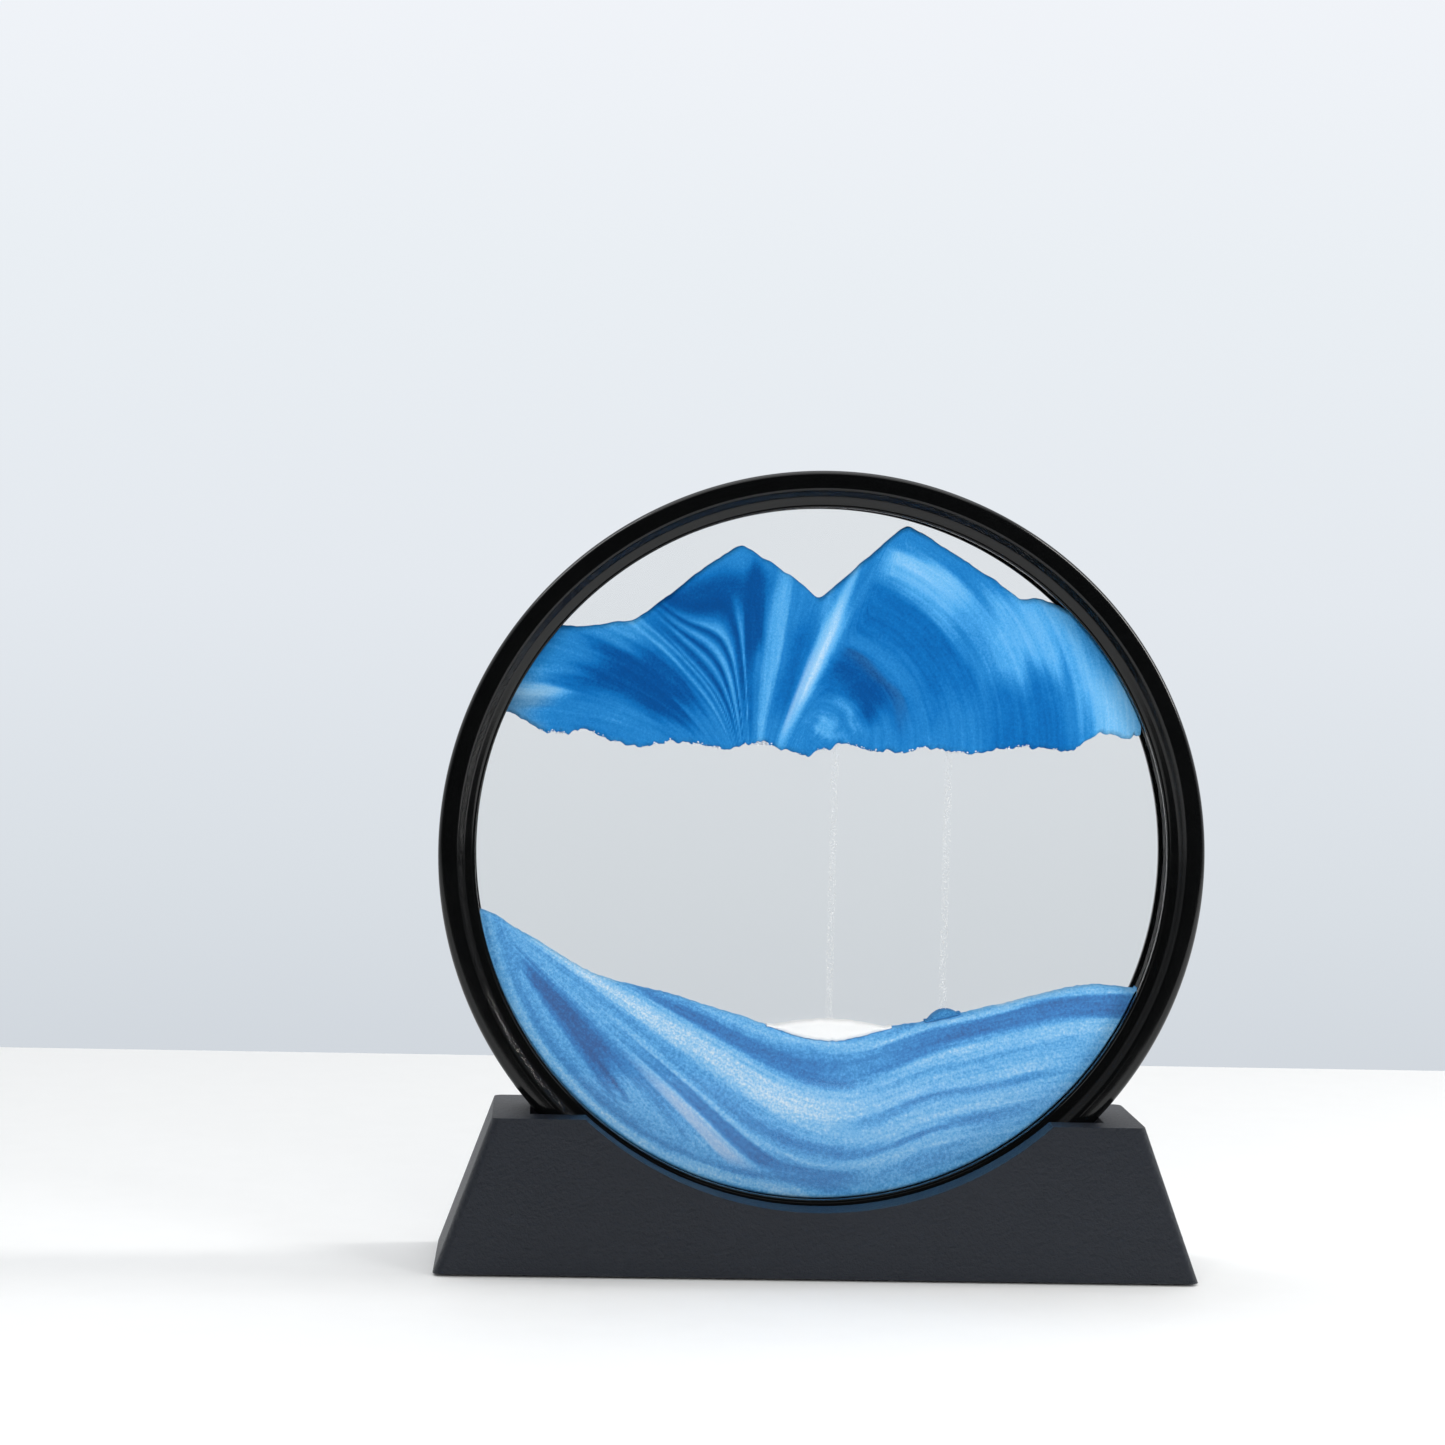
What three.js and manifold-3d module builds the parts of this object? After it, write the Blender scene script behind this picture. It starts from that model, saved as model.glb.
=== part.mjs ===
// Moving sand picture: a round two-sided glass cell of coloured sand and clear fluid,
// held in a black frame that stands in the groove of a trapezoid base.
//
// Millimetres, +Z up, front towards -Y. The origin is at the middle of the base's
// underside, on the surface that the feet stand on. The frame's axis runs along Y.

import * as THREE from 'three';
import { mergeVertices } from 'three/addons/utils/BufferGeometryUtils.js';
import Module from 'manifold-3d';

const wasm = await Module();
wasm.setup();

// ---------------------------------------------------------------- driving dimensions

// Gap kept between two pieces that touch on the real object.
const CONTACT_GAP = 0.3;

// Stand.
const BASE_LENGTH = 176;          // at the foot, along X
const BASE_DEPTH = 44;            // at the foot, along Y
const BASE_TOP_LENGTH = 150.5;
const BASE_TOP_DEPTH = 38;
const BASE_HEIGHT = 35.4;         // of the moulding itself
const BASE_CORNER_RADIUS = 2;
const BASE_EDGE_CHAMFER = 0.8;
const BASE_WALL = 2.4;
const COVER_THICKNESS = 2;
const BOSS_RADIUS = 3.5;
const BOSS_INSET_X = 15;          // from the base's foot to a boss
const BOSS_INSET_Y = 13;
const PEG_RADIUS = 2;
const PEG_HEIGHT = 5;

// Feet.
const FOOT_RADIUS = 5;
const FOOT_THICKNESS = 1;
const FOOT_PROUD = 0.6;           // how far a foot stands out of the cover
const FOOT_INSET_X = 14;          // from the base's foot to a pad
const FOOT_INSET_Y = 9.5;

// Frame.
const FRAME_RADIUS = 89;
const FRAME_HALF_DEPTH = 10;      // middle plane to the crest of the bead
const FRAME_WALL = 3.7;           // outer hoop, in radius
const BEAD_WIDTH = 4.9;           // bead, from the rim inwards
const LIP_WIDTH = 3.6;            // lip, from the bead inwards to the window
const LIP_THICKNESS = 1.5;        // at the window's edge
const BEAD_WALL = 2.1;            // over the hollow under the bead
const FRAME_FILLET = 1.9;

// Cell.
const GLASS_THICKNESS = 2;
const CAVITY_DEPTH = 6;
const SEALANT_THICKNESS = 0.5;
const SEALANT_SETBACK = 0.4;      // sealant, inside the spacer's edges
const SPACER_WIDTH = 3.6;

// Groove of the stand.
const GROOVE_SIDE_CLEARANCE = 1.4;
const GROOVE_FLOOR_CLEARANCE = 0.4;
const GROOVE_EXTRA_RADIUS = 2.6;  // the groove is a little flatter than the frame
const FRAME_LIFT = 7.7;           // underside of the frame above the surface
const WINDOW_CUT_EXTRA = 0.6;     // scooped walls, outside the frame's window

// Filling port at the top of the frame.
const CAP_RADIUS = 3.5;
const CAP_HEAD_THICKNESS = 1.6;
const CAP_SUNK = 0.1;             // cap's top below the frame's rim
const CAP_STEM_RADIUS = 1.5;
const SEPTUM_RADIUS = 1;

// Sand and fluid.
const SAND_SIDE_CLEARANCE = 0.3;
const FLUID_CLEARANCE = 0.6;      // measured straight up and down
const WHITE_MOUND_HEIGHT = 4.8;
const BLUE_MOUND_HEIGHT = 1.5;

// Drift lines. A hill of sand has its top at x and z, in shares of the cell's radius, and falls
// away to the left and the right by the given slopes, or climbs where a slope is negative. A
// crest is the highest hill at each place.
const HELD_HILLS = [
  { x: -0.5, z: 0.66, left: 0.1, right: 0.7 },
  { x: -0.25, z: 0.885, left: 0.78, right: 0.72 },
  { x: 0.23, z: 0.945, left: 0.9, right: 0.64 },
  { x: 0.6, z: 0.75, left: 0.35, right: 0.45 },
];
const FALLEN_HILLS = [
  { x: -1, z: -0.17, left: 0.5, right: 0.62 },
  { x: -0.4, z: -0.43, left: -0.22, right: 0.32 },
  { x: 0.8, z: -0.37, left: 0.25, right: 0.1 },
];
const HILL_ROUNDING = 0.015;      // at a hill's top
const HELD_FOOT = 0.31;           // underside of the held sand, at the middle of the cell
const HELD_FOOT_RISE = 0.1;       // how much higher it is at the cell's edge
const HELD_FOOT_WAVE = 0.012;     // unevenness of the underside, up and down
const HELD_FOOT_WAVES = 4;        // waves from the middle of the cell to its edge
const DRIFT_REACH = 1.1;          // the lines end outside the cell, which clips them
const DRIFT_STEPS = 46;
const WHITE_MOUND_SPAN = [-0.15, 0.22];
const BLUE_MOUND_SPAN = [0.31, 0.42];
const MOUND_EDGE = 0.4;           // thickness of a mound at its ends
const MOUND_LIFT = 0.36;          // straight up, off the lower sand
const MOUND_STEPS = 10;

// Facets.
const RING_FACETS = 60;
const SMALL_FACETS = 20;

// ---------------------------------------------------------------- derived places

const frameCentreZ = FRAME_LIFT + FRAME_RADIUS;
const windowRadius = FRAME_RADIUS - BEAD_WIDTH - LIP_WIDTH;
const hoopInnerRadius = FRAME_RADIUS - FRAME_WALL;
const glassRadius = hoopInnerRadius - CONTACT_GAP * 2;
const glassInnerFace = CAVITY_DEPTH / 2;
const spacerHalfDepth = glassInnerFace - SEALANT_THICKNESS - 2 * CONTACT_GAP;
const glassOuterFace = glassInnerFace + GLASS_THICKNESS;
const lipInnerFace = glassOuterFace + CONTACT_GAP;
const spacerInnerRadius = glassRadius - SPACER_WIDTH;
const cellRadius = spacerInnerRadius - CONTACT_GAP;
const grooveHalfWidth = FRAME_HALF_DEPTH + GROOVE_SIDE_CLEARANCE;
const grooveRadius = FRAME_RADIUS + GROOVE_EXTRA_RADIUS;
const grooveCentreZ = frameCentreZ + GROOVE_EXTRA_RADIUS - GROOVE_FLOOR_CLEARANCE;
const scoopRadius = windowRadius + WINDOW_CUT_EXTRA;
const baseFootZ = FOOT_PROUD;
const baseTopZ = baseFootZ + BASE_HEIGHT;
const coverTopZ = baseFootZ + COVER_THICKNESS;

// ---------------------------------------------------------------- materials

const finishes = {
  frame: { color: 0x08090a, roughness: 0.22, metalness: 0 },
  base: { color: 0x2c2e33, roughness: 0.62, metalness: 0 },
  cover: { color: 0x1c1d20, roughness: 0.7, metalness: 0 },
  foot: { color: 0x101010, roughness: 0.9, metalness: 0 },
  spacer: { color: 0x141518, roughness: 0.5, metalness: 0 },
  glass: { color: 0xe4eaec, roughness: 0.04, metalness: 0 },
  sealant: { color: 0x1a1b1d, roughness: 0.6, metalness: 0 },
  stopper: { color: 0x3a3a3c, roughness: 0.75, metalness: 0 },
  fluid: { color: 0xdfe6ea, roughness: 0.05, metalness: 0 },
  blueSand: { color: 0x1f72c4, roughness: 0.95, metalness: 0 },
  darkSand: { color: 0x0d4f9c, roughness: 0.95, metalness: 0 },
  whiteSand: { color: 0xf2f2ee, roughness: 0.95, metalness: 0 },
};

const makePiece = (name, geometry, finish) => {
  const piece = new THREE.Mesh(geometry, new THREE.MeshStandardMaterial(finish));
  piece.name = name;
  return piece;
};

// ---------------------------------------------------------------- solids

const toSolid = (geometry) => {
  const bare = geometry.clone();
  bare.deleteAttribute('normal');
  bare.deleteAttribute('uv');
  const merged = mergeVertices(bare, 1e-4);
  return new wasm.Manifold(new wasm.Mesh({
    numProp: 3,
    vertProperties: new Float32Array(merged.attributes.position.array),
    triVerts: new Uint32Array(merged.index.array),
  }));
};

const toGeometry = (solid) => {
  const mesh = solid.getMesh();
  const geometry = new THREE.BufferGeometry();
  geometry.setAttribute('position', new THREE.BufferAttribute(mesh.vertProperties, 3));
  geometry.setIndex(new THREE.BufferAttribute(mesh.triVerts, 1));
  geometry.computeVertexNormals();
  return geometry;
};

const cut = (geometry, ...tools) => {
  const result = tools.reduce((solid, tool) => solid.subtract(toSolid(tool)), toSolid(geometry));
  return toGeometry(result);
};

const common = (geometry, other) => toGeometry(toSolid(geometry).intersect(toSolid(other)));

// Turns a closed profile of [radius, distance along Y] about the Y axis, faces outward.
const turnAboutY = (profile) => {
  const points = profile.map(([radius, along]) => new THREE.Vector2(radius, along));
  if (THREE.ShapeUtils.area(points) < 0) points.reverse();
  return new THREE.LatheGeometry([...points, points[0].clone()], RING_FACETS);
};

const discAboutY = (radius, from, to) => new THREE.LatheGeometry([
  new THREE.Vector2(0, from),
  new THREE.Vector2(radius, from),
  new THREE.Vector2(radius, to),
  new THREE.Vector2(0, to),
], RING_FACETS);

const hoopAboutY = (inner, outer, from, to) =>
  turnAboutY([[inner, from], [outer, from], [outer, to], [inner, to]]);

const postAlongZ = (radius, from, to, x = 0, y = 0) =>
  new THREE.CylinderGeometry(radius, radius, to - from, SMALL_FACETS)
    .rotateX(Math.PI / 2)
    .translate(x, y, (from + to) / 2);

// Extrudes a closed outline of [x, z] points evenly to both sides of the middle plane.
const slabAcrossY = (outline, halfDepth) => {
  const shape = new THREE.Shape(outline.map(([x, z]) => new THREE.Vector2(x, z)));
  return new THREE.ExtrudeGeometry(shape, { depth: halfDepth * 2, bevelEnabled: false })
    .rotateX(Math.PI / 2)
    .translate(0, halfDepth, 0);
};

// Rounded rectangle, counter-clockwise, with the same number of points at any size.
const roundedOutline = (length, depth, radius) => {
  const corners = [[1, 1, 0], [-1, 1, 1], [-1, -1, 2], [1, -1, 3]];
  const steps = 3;
  const points = [];
  for (const [sideX, sideY, quarter] of corners) {
    for (let step = 0; step <= steps; step += 1) {
      const angle = (quarter + step / steps) * Math.PI / 2;
      points.push([
        sideX * (length / 2 - radius) + radius * Math.cos(angle),
        sideY * (depth / 2 - radius) + radius * Math.sin(angle),
      ]);
    }
  }
  return points;
};

// Skins a stack of levels, each {z, length, depth, radius}, into one closed block.
const stackedBlock = (levels) => {
  const rings = levels.map(({ z, length, depth, radius }) =>
    roundedOutline(length, depth, radius).map(([x, y]) => [x, y, z]));
  const count = rings[0].length;
  const vertices = rings.flat();
  const faces = [];
  for (let level = 0; level < rings.length - 1; level += 1) {
    for (let i = 0; i < count; i += 1) {
      const next = (i + 1) % count;
      const low = level * count;
      const high = low + count;
      faces.push(low + i, low + next, high + next, low + i, high + next, high + i);
    }
  }
  const top = (rings.length - 1) * count;
  for (let i = 1; i < count - 1; i += 1) {
    faces.push(0, i + 1, i);
    faces.push(top, top + i, top + i + 1);
  }
  const geometry = new THREE.BufferGeometry();
  geometry.setAttribute('position', new THREE.Float32BufferAttribute(vertices.flat(), 3));
  geometry.setIndex(faces);
  return geometry.toNonIndexed();
};

// The base's tapering plan at a height, moved in by inset on every side.
const baseLevel = (z, inset = 0) => {
  const rise = (z - baseFootZ) / BASE_HEIGHT;
  return {
    z,
    length: BASE_LENGTH + (BASE_TOP_LENGTH - BASE_LENGTH) * rise - 2 * inset,
    depth: BASE_DEPTH + (BASE_TOP_DEPTH - BASE_DEPTH) * rise - 2 * inset,
    radius: BASE_CORNER_RADIUS,
  };
};

// ---------------------------------------------------------------- stand

// Four places, each set in by insetX and insetY from a corner of the base's foot.
const cornerPlaces = (insetX, insetY) => {
  const x = BASE_LENGTH / 2 - insetX;
  const y = BASE_DEPTH / 2 - insetY;
  return [
    ['front_left', -x, -y],
    ['front_right', x, -y],
    ['rear_left', -x, y],
    ['rear_right', x, y],
  ];
};

const bossPlaces = cornerPlaces(BOSS_INSET_X, BOSS_INSET_Y);
const footPlaces = cornerPlaces(FOOT_INSET_X, FOOT_INSET_Y);

const makeBaseShell = () => {
  const outside = toSolid(stackedBlock([
    baseLevel(baseFootZ),
    baseLevel(baseTopZ - BASE_EDGE_CHAMFER),
    baseLevel(baseTopZ, BASE_EDGE_CHAMFER),
  ]));
  const grooveAt = (grow) => toSolid(
    discAboutY(grooveRadius + grow, -grooveHalfWidth - grow, grooveHalfWidth + grow)
      .translate(0, 0, grooveCentreZ));
  const scoopAt = (grow) => toSolid(
    discAboutY(scoopRadius + grow, -BASE_DEPTH, BASE_DEPTH).translate(0, 0, frameCentreZ));
  let hollow = toSolid(stackedBlock([
    baseLevel(baseFootZ - BASE_WALL, BASE_WALL),
    baseLevel(baseTopZ - BASE_WALL, BASE_WALL),
  ]));
  hollow = hollow.subtract(grooveAt(BASE_WALL)).subtract(scoopAt(BASE_WALL));
  const bossFoot = coverTopZ + CONTACT_GAP;
  const boreTop = bossFoot + PEG_HEIGHT + CONTACT_GAP;
  for (const [, x, y] of bossPlaces) {
    hollow = hollow.subtract(toSolid(postAlongZ(BOSS_RADIUS, bossFoot, baseTopZ, x, y)));
  }
  let shell = outside.subtract(grooveAt(0)).subtract(scoopAt(0)).subtract(hollow);
  for (const [, x, y] of bossPlaces) {
    const bore = postAlongZ(PEG_RADIUS + CONTACT_GAP, bossFoot - BASE_WALL, boreTop, x, y);
    shell = shell.subtract(toSolid(bore));
  }
  return toGeometry(shell);
};

const makeBottomCover = () => {
  const inset = BASE_WALL + CONTACT_GAP;
  let cover = toSolid(stackedBlock([baseLevel(baseFootZ, inset), baseLevel(coverTopZ, inset)]));
  for (const [, x, y] of bossPlaces) {
    cover = cover.add(toSolid(postAlongZ(PEG_RADIUS, baseFootZ + COVER_THICKNESS / 2,
      coverTopZ + PEG_HEIGHT, x, y)));
  }
  for (const [, x, y] of footPlaces) {
    cover = cover.subtract(toSolid(postAlongZ(FOOT_RADIUS + CONTACT_GAP, -FOOT_THICKNESS,
      FOOT_THICKNESS + CONTACT_GAP, x, y)));
  }
  return toGeometry(cover);
};

const stand = new THREE.Group();
stand.add(makePiece('base_shell', makeBaseShell(), finishes.base));
stand.add(makePiece('base_bottom_cover', makeBottomCover(), finishes.cover));
for (const [place, x, y] of footPlaces) {
  stand.add(makePiece(`foot_pad_${place}`, postAlongZ(FOOT_RADIUS, 0, FOOT_THICKNESS, x, y),
    finishes.foot));
}

// ---------------------------------------------------------------- frame and cell

const portShoulder = FRAME_RADIUS - CAP_SUNK - CAP_HEAD_THICKNESS - CONTACT_GAP;

const makePortBore = () => {
  const outside = FRAME_RADIUS + CAP_RADIUS;
  const wide = toSolid(postAlongZ(CAP_RADIUS + CONTACT_GAP, portShoulder, outside));
  const narrow = toSolid(postAlongZ(CAP_STEM_RADIUS + CONTACT_GAP, glassRadius, outside));
  return toGeometry(wide.add(narrow));
};

// One half of the frame: side is -1 for the front, +1 for the rear.
const makeFrameHalf = (side) => {
  const beadInner = FRAME_RADIUS - BEAD_WIDTH;
  const crest = FRAME_HALF_DEPTH;
  const lipFace = lipInnerFace + LIP_THICKNESS;
  const beadRise = crest - lipFace;
  const coreTop = crest - BEAD_WALL;
  const profile = [
    [hoopInnerRadius, CONTACT_GAP / 2],
    [FRAME_RADIUS, CONTACT_GAP / 2],
    [FRAME_RADIUS, crest - FRAME_FILLET],
    [FRAME_RADIUS - FRAME_FILLET * 0.3, crest - FRAME_FILLET * 0.3],
    [FRAME_RADIUS - FRAME_FILLET, crest],
    [beadInner + BEAD_WIDTH * 0.2, crest],
    [beadInner, crest - beadRise * 0.3],
    [beadInner - LIP_WIDTH * 0.4, lipFace + beadRise * 0.3],
    [windowRadius, lipFace],
    [windowRadius, lipInnerFace],
    [beadInner - LIP_WIDTH * 0.2, lipInnerFace],
    [beadInner - LIP_WIDTH * 0.05, coreTop],
    [hoopInnerRadius - FRAME_WALL * 0.05, coreTop],
    [hoopInnerRadius, lipInnerFace],
  ];
  const hoop = turnAboutY(profile.map(([radius, along]) => [radius, side * along]));
  return cut(hoop, makePortBore());
};

const makeSpacer = () => cut(
  hoopAboutY(spacerInnerRadius, glassRadius, -spacerHalfDepth, spacerHalfDepth),
  postAlongZ(SEPTUM_RADIUS + CONTACT_GAP, spacerInnerRadius - SPACER_WIDTH, FRAME_RADIUS),
);

const makeGlass = (side) => {
  const faces = [side * glassInnerFace, side * glassOuterFace].sort((a, b) => a - b);
  return discAboutY(glassRadius, ...faces);
};

const makeSealant = (side) => {
  const near = spacerHalfDepth + CONTACT_GAP;
  return hoopAboutY(spacerInnerRadius + SEALANT_SETBACK, glassRadius - SEALANT_SETBACK,
    side * near, side * (near + SEALANT_THICKNESS));
};

const makeSeptum = () =>
  postAlongZ(SEPTUM_RADIUS, spacerInnerRadius + CONTACT_GAP, glassRadius - CONTACT_GAP);

const makeFillerCap = () => {
  const top = FRAME_RADIUS - CAP_SUNK;
  const head = toSolid(postAlongZ(CAP_RADIUS, top - CAP_HEAD_THICKNESS, top));
  const stem = toSolid(postAlongZ(CAP_STEM_RADIUS, glassRadius + CONTACT_GAP,
    top - CAP_HEAD_THICKNESS / 2));
  return toGeometry(head.add(stem));
};

// ---------------------------------------------------------------- sand and fluid

const sandHalfDepth = glassInnerFace - SAND_SIDE_CLEARANCE;

const clipToCell = (outline) =>
  common(slabAcrossY(outline, sandHalfDepth), discAboutY(cellRadius, -cellRadius, cellRadius));

// Height of one hill at x: straight slopes that meet in a rounded top.
const hillHeight = (hill, x) => {
  const away = Math.hypot(x - hill.x, HILL_ROUNDING) - HILL_ROUNDING;
  return hill.z - away * (x < hill.x ? hill.left : hill.right);
};

const crestHeight = (hills) => (x) => Math.max(...hills.map((hill) => hillHeight(hill, x)));

const heldFootHeight = (x) => HELD_FOOT + HELD_FOOT_RISE * x ** 4
  + HELD_FOOT_WAVE * Math.sin(x * HELD_FOOT_WAVES * 2 * Math.PI);

const driftLine = (heightAt) => Array.from({ length: DRIFT_STEPS + 1 }, (_, step) => {
  const x = (step / DRIFT_STEPS * 2 - 1) * DRIFT_REACH;
  return [x * cellRadius, heightAt(x) * cellRadius];
});
const raised = (line, rise) => line.map(([x, z]) => [x, z + rise]);
const between = (lower, upper) => [...lower, ...[...upper].reverse()];

const crestOfUpper = driftLine(crestHeight(HELD_HILLS));
const footOfUpper = driftLine(heldFootHeight);
const crestOfLower = driftLine(crestHeight(FALLEN_HILLS));

// Level line past the cell's top (direction 1) or bottom (direction -1).
const levelLine = (direction) => {
  const [left] = crestOfLower[0];
  const [right] = crestOfLower.at(-1);
  return [[left, direction * right], [right, direction * right]];
};

const heightOn = (line, x) => {
  const after = line.findIndex(([px]) => px >= x);
  const [x0, z0] = line[after - 1];
  const [x1, z1] = line[after];
  return z0 + (z1 - z0) * (x - x0) / (x1 - x0);
};

// A lens-shaped heap on the lower sand, grown all round by the given amount.
const moundOutline = (span, height, grow) => {
  const [from, to] = span.map((share) => share * cellRadius);
  const middle = (from + to) / 2;
  const reach = (to - from) / 2 + grow;
  const foot = [];
  const crest = [];
  for (let step = 0; step <= MOUND_STEPS; step += 1) {
    const along = step / MOUND_STEPS * 2 - 1;
    const x = middle + along * reach;
    const ground = heightOn(crestOfLower, x) + MOUND_LIFT;
    foot.push([x, ground - grow * 2]);
    crest.push([x, ground + MOUND_EDGE + grow + (height - MOUND_EDGE) * (1 - along * along)]);
  }
  return between(foot, crest);
};

const makeMound = (span, height) => clipToCell(moundOutline(span, height, 0));

const makeUpperSand = () => clipToCell(between(footOfUpper, crestOfUpper));

const makeLowerSand = () => clipToCell(between(levelLine(-1), crestOfLower));

const makeFluidAbove = () =>
  clipToCell(between(raised(crestOfUpper, FLUID_CLEARANCE), levelLine(1)));

const makeFluidBetween = () => {
  const room = clipToCell(between(
    raised(crestOfLower, FLUID_CLEARANCE),
    raised(footOfUpper, -FLUID_CLEARANCE),
  ));
  return cut(
    room,
    slabAcrossY(moundOutline(WHITE_MOUND_SPAN, WHITE_MOUND_HEIGHT, CONTACT_GAP), CAVITY_DEPTH),
    slabAcrossY(moundOutline(BLUE_MOUND_SPAN, BLUE_MOUND_HEIGHT, CONTACT_GAP), CAVITY_DEPTH),
  );
};

// ---------------------------------------------------------------- disc

const disc = new THREE.Group();
disc.position.set(0, 0, frameCentreZ);
disc.add(makePiece('front_frame_ring', makeFrameHalf(-1), finishes.frame));
disc.add(makePiece('rear_frame_ring', makeFrameHalf(1), finishes.frame));
disc.add(makePiece('spacer_ring', makeSpacer(), finishes.spacer));
disc.add(makePiece('front_glass', makeGlass(-1), finishes.glass));
disc.add(makePiece('rear_glass', makeGlass(1), finishes.glass));
disc.add(makePiece('front_sealant', makeSealant(-1), finishes.sealant));
disc.add(makePiece('rear_sealant', makeSealant(1), finishes.sealant));
disc.add(makePiece('filler_septum', makeSeptum(), finishes.stopper));
disc.add(makePiece('upper_sand', makeUpperSand(), finishes.blueSand));
disc.add(makePiece('lower_sand', makeLowerSand(), finishes.blueSand));
disc.add(makePiece('white_sand_mound', makeMound(WHITE_MOUND_SPAN, WHITE_MOUND_HEIGHT),
  finishes.whiteSand));
disc.add(makePiece('blue_sand_mound', makeMound(BLUE_MOUND_SPAN, BLUE_MOUND_HEIGHT),
  finishes.darkSand));
disc.add(makePiece('clear_fill_above', makeFluidAbove(), finishes.fluid));
disc.add(makePiece('clear_fill_between', makeFluidBetween(), finishes.fluid));
disc.add(makePiece('filler_cap', makeFillerCap(), finishes.stopper));

const group = new THREE.Group();
group.add(stand, disc);

export default group;
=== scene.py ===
import math

import bmesh
import bpy
import numpy as np
from mathutils import Matrix, Vector


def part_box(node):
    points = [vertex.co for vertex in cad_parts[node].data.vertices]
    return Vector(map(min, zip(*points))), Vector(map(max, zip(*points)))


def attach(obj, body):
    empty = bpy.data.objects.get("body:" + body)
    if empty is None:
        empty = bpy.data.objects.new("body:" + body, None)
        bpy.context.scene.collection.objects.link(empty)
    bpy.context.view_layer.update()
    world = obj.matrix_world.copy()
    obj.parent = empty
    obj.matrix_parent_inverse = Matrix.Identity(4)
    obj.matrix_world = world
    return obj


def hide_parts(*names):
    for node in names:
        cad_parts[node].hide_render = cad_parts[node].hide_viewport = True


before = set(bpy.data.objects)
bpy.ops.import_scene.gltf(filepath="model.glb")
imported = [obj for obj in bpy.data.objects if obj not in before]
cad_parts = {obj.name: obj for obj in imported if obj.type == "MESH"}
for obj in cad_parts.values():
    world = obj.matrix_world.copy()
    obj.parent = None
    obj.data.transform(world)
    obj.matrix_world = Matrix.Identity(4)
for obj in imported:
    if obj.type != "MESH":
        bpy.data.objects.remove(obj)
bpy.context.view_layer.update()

# Design sizes below are in millimetres and are turned into metres where a mesh is made.
MM = 0.001

# ----- sizes taken from the frame

pane_low, pane_high = (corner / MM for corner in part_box("front_glass"))
rim_low, rim_high = (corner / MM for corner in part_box("front_frame_ring"))
shell_low, shell_high = (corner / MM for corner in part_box("base_shell"))
cover_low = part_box("base_bottom_cover")[0] / MM
cap_low, cap_high = (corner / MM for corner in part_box("filler_cap"))
sand_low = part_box("upper_sand")[0] / MM
MOUNDS = ("white_sand_mound", "blue_sand_mound")
mound_boxes = {node: [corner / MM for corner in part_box(node)] for node in MOUNDS}

DISC_Z = (pane_low.z + pane_high.z) / 2
RIM_RADIUS = (rim_high.x - rim_low.x) / 2
RIM_HALF_DEPTH = -rim_low.y
SEAM_HALF = -rim_high.y
SAND_DEPTH = -sand_low.y
# The spacer's inner wall, which the sand lies against.
CELL_RADIUS = 80.8

# ----- mesh helpers


def placed(name, data):
    """A new object in the scene."""
    thing = bpy.data.objects.new(name, data)
    bpy.context.scene.collection.objects.link(thing)
    return thing


def piece_from(name, points, faces, finish=None):
    """A piece from points in millimetres."""
    mesh = bpy.data.meshes.new(name)
    mesh.from_pydata([tuple(float(c) * MM for c in p) for p in points], [], faces)
    mesh.validate()
    mesh.update()
    if finish is not None:
        mesh.materials.append(finish)
    return placed(name, mesh)


def baked(piece):
    """Turns the piece's live modifiers into plain mesh and removes them."""
    bpy.context.view_layer.update()
    evaluated = piece.evaluated_get(bpy.context.evaluated_depsgraph_get())
    mesh = bpy.data.meshes.new_from_object(evaluated)
    piece.modifiers.clear()
    old = piece.data
    piece.data = mesh
    mesh.name = piece.name
    bpy.data.meshes.remove(old)
    return piece


def smooth(piece, sharp_degrees=None):
    """Smooth shading, with edges sharper than the given angle left sharp."""
    piece.data.polygons.foreach_set("use_smooth", [True] * len(piece.data.polygons))
    if sharp_degrees is not None:
        piece.data.set_sharp_from_angle(angle=math.radians(sharp_degrees))
    return piece


def cut_away(piece, cutter):
    """Takes the cutter out of the piece and throws the cutter away."""
    modifier = piece.modifiers.new("cut", "BOOLEAN")
    modifier.operation = "DIFFERENCE"
    modifier.solver = "MANIFOLD"
    modifier.object = cutter
    baked(piece)
    bpy.data.objects.remove(cutter)
    return piece


def sliced(piece, places):
    """Splits the faces across x at the given places, so that no face bends round an arc."""
    form = bmesh.new()
    form.from_mesh(piece.data)
    for x in places:
        parts = form.verts[:] + form.edges[:] + form.faces[:]
        bmesh.ops.bisect_plane(form, geom=parts, plane_co=(x * MM, 0, 0), plane_no=(1, 0, 0))
    form.to_mesh(piece.data)
    form.free()


def arc(centre, radius, start, end, steps):
    """Points on a circle from one angle to another, in degrees."""
    return [
        (centre[0] + radius * math.cos(math.radians(a)), centre[1] + radius * math.sin(math.radians(a)))
        for a in np.linspace(start, end, steps + 1)
    ]


def rounded_plan(length, depth, radius, steps=8):
    """Counter-clockwise rounded rectangle."""
    points = []
    for side_x, side_y, turn in ((1, 1, 0), (-1, 1, 90), (-1, -1, 180), (1, -1, 270)):
        centre = (side_x * (length / 2 - radius), side_y * (depth / 2 - radius))
        points += arc(centre, radius, turn, turn + 90, steps)
    return points


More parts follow.
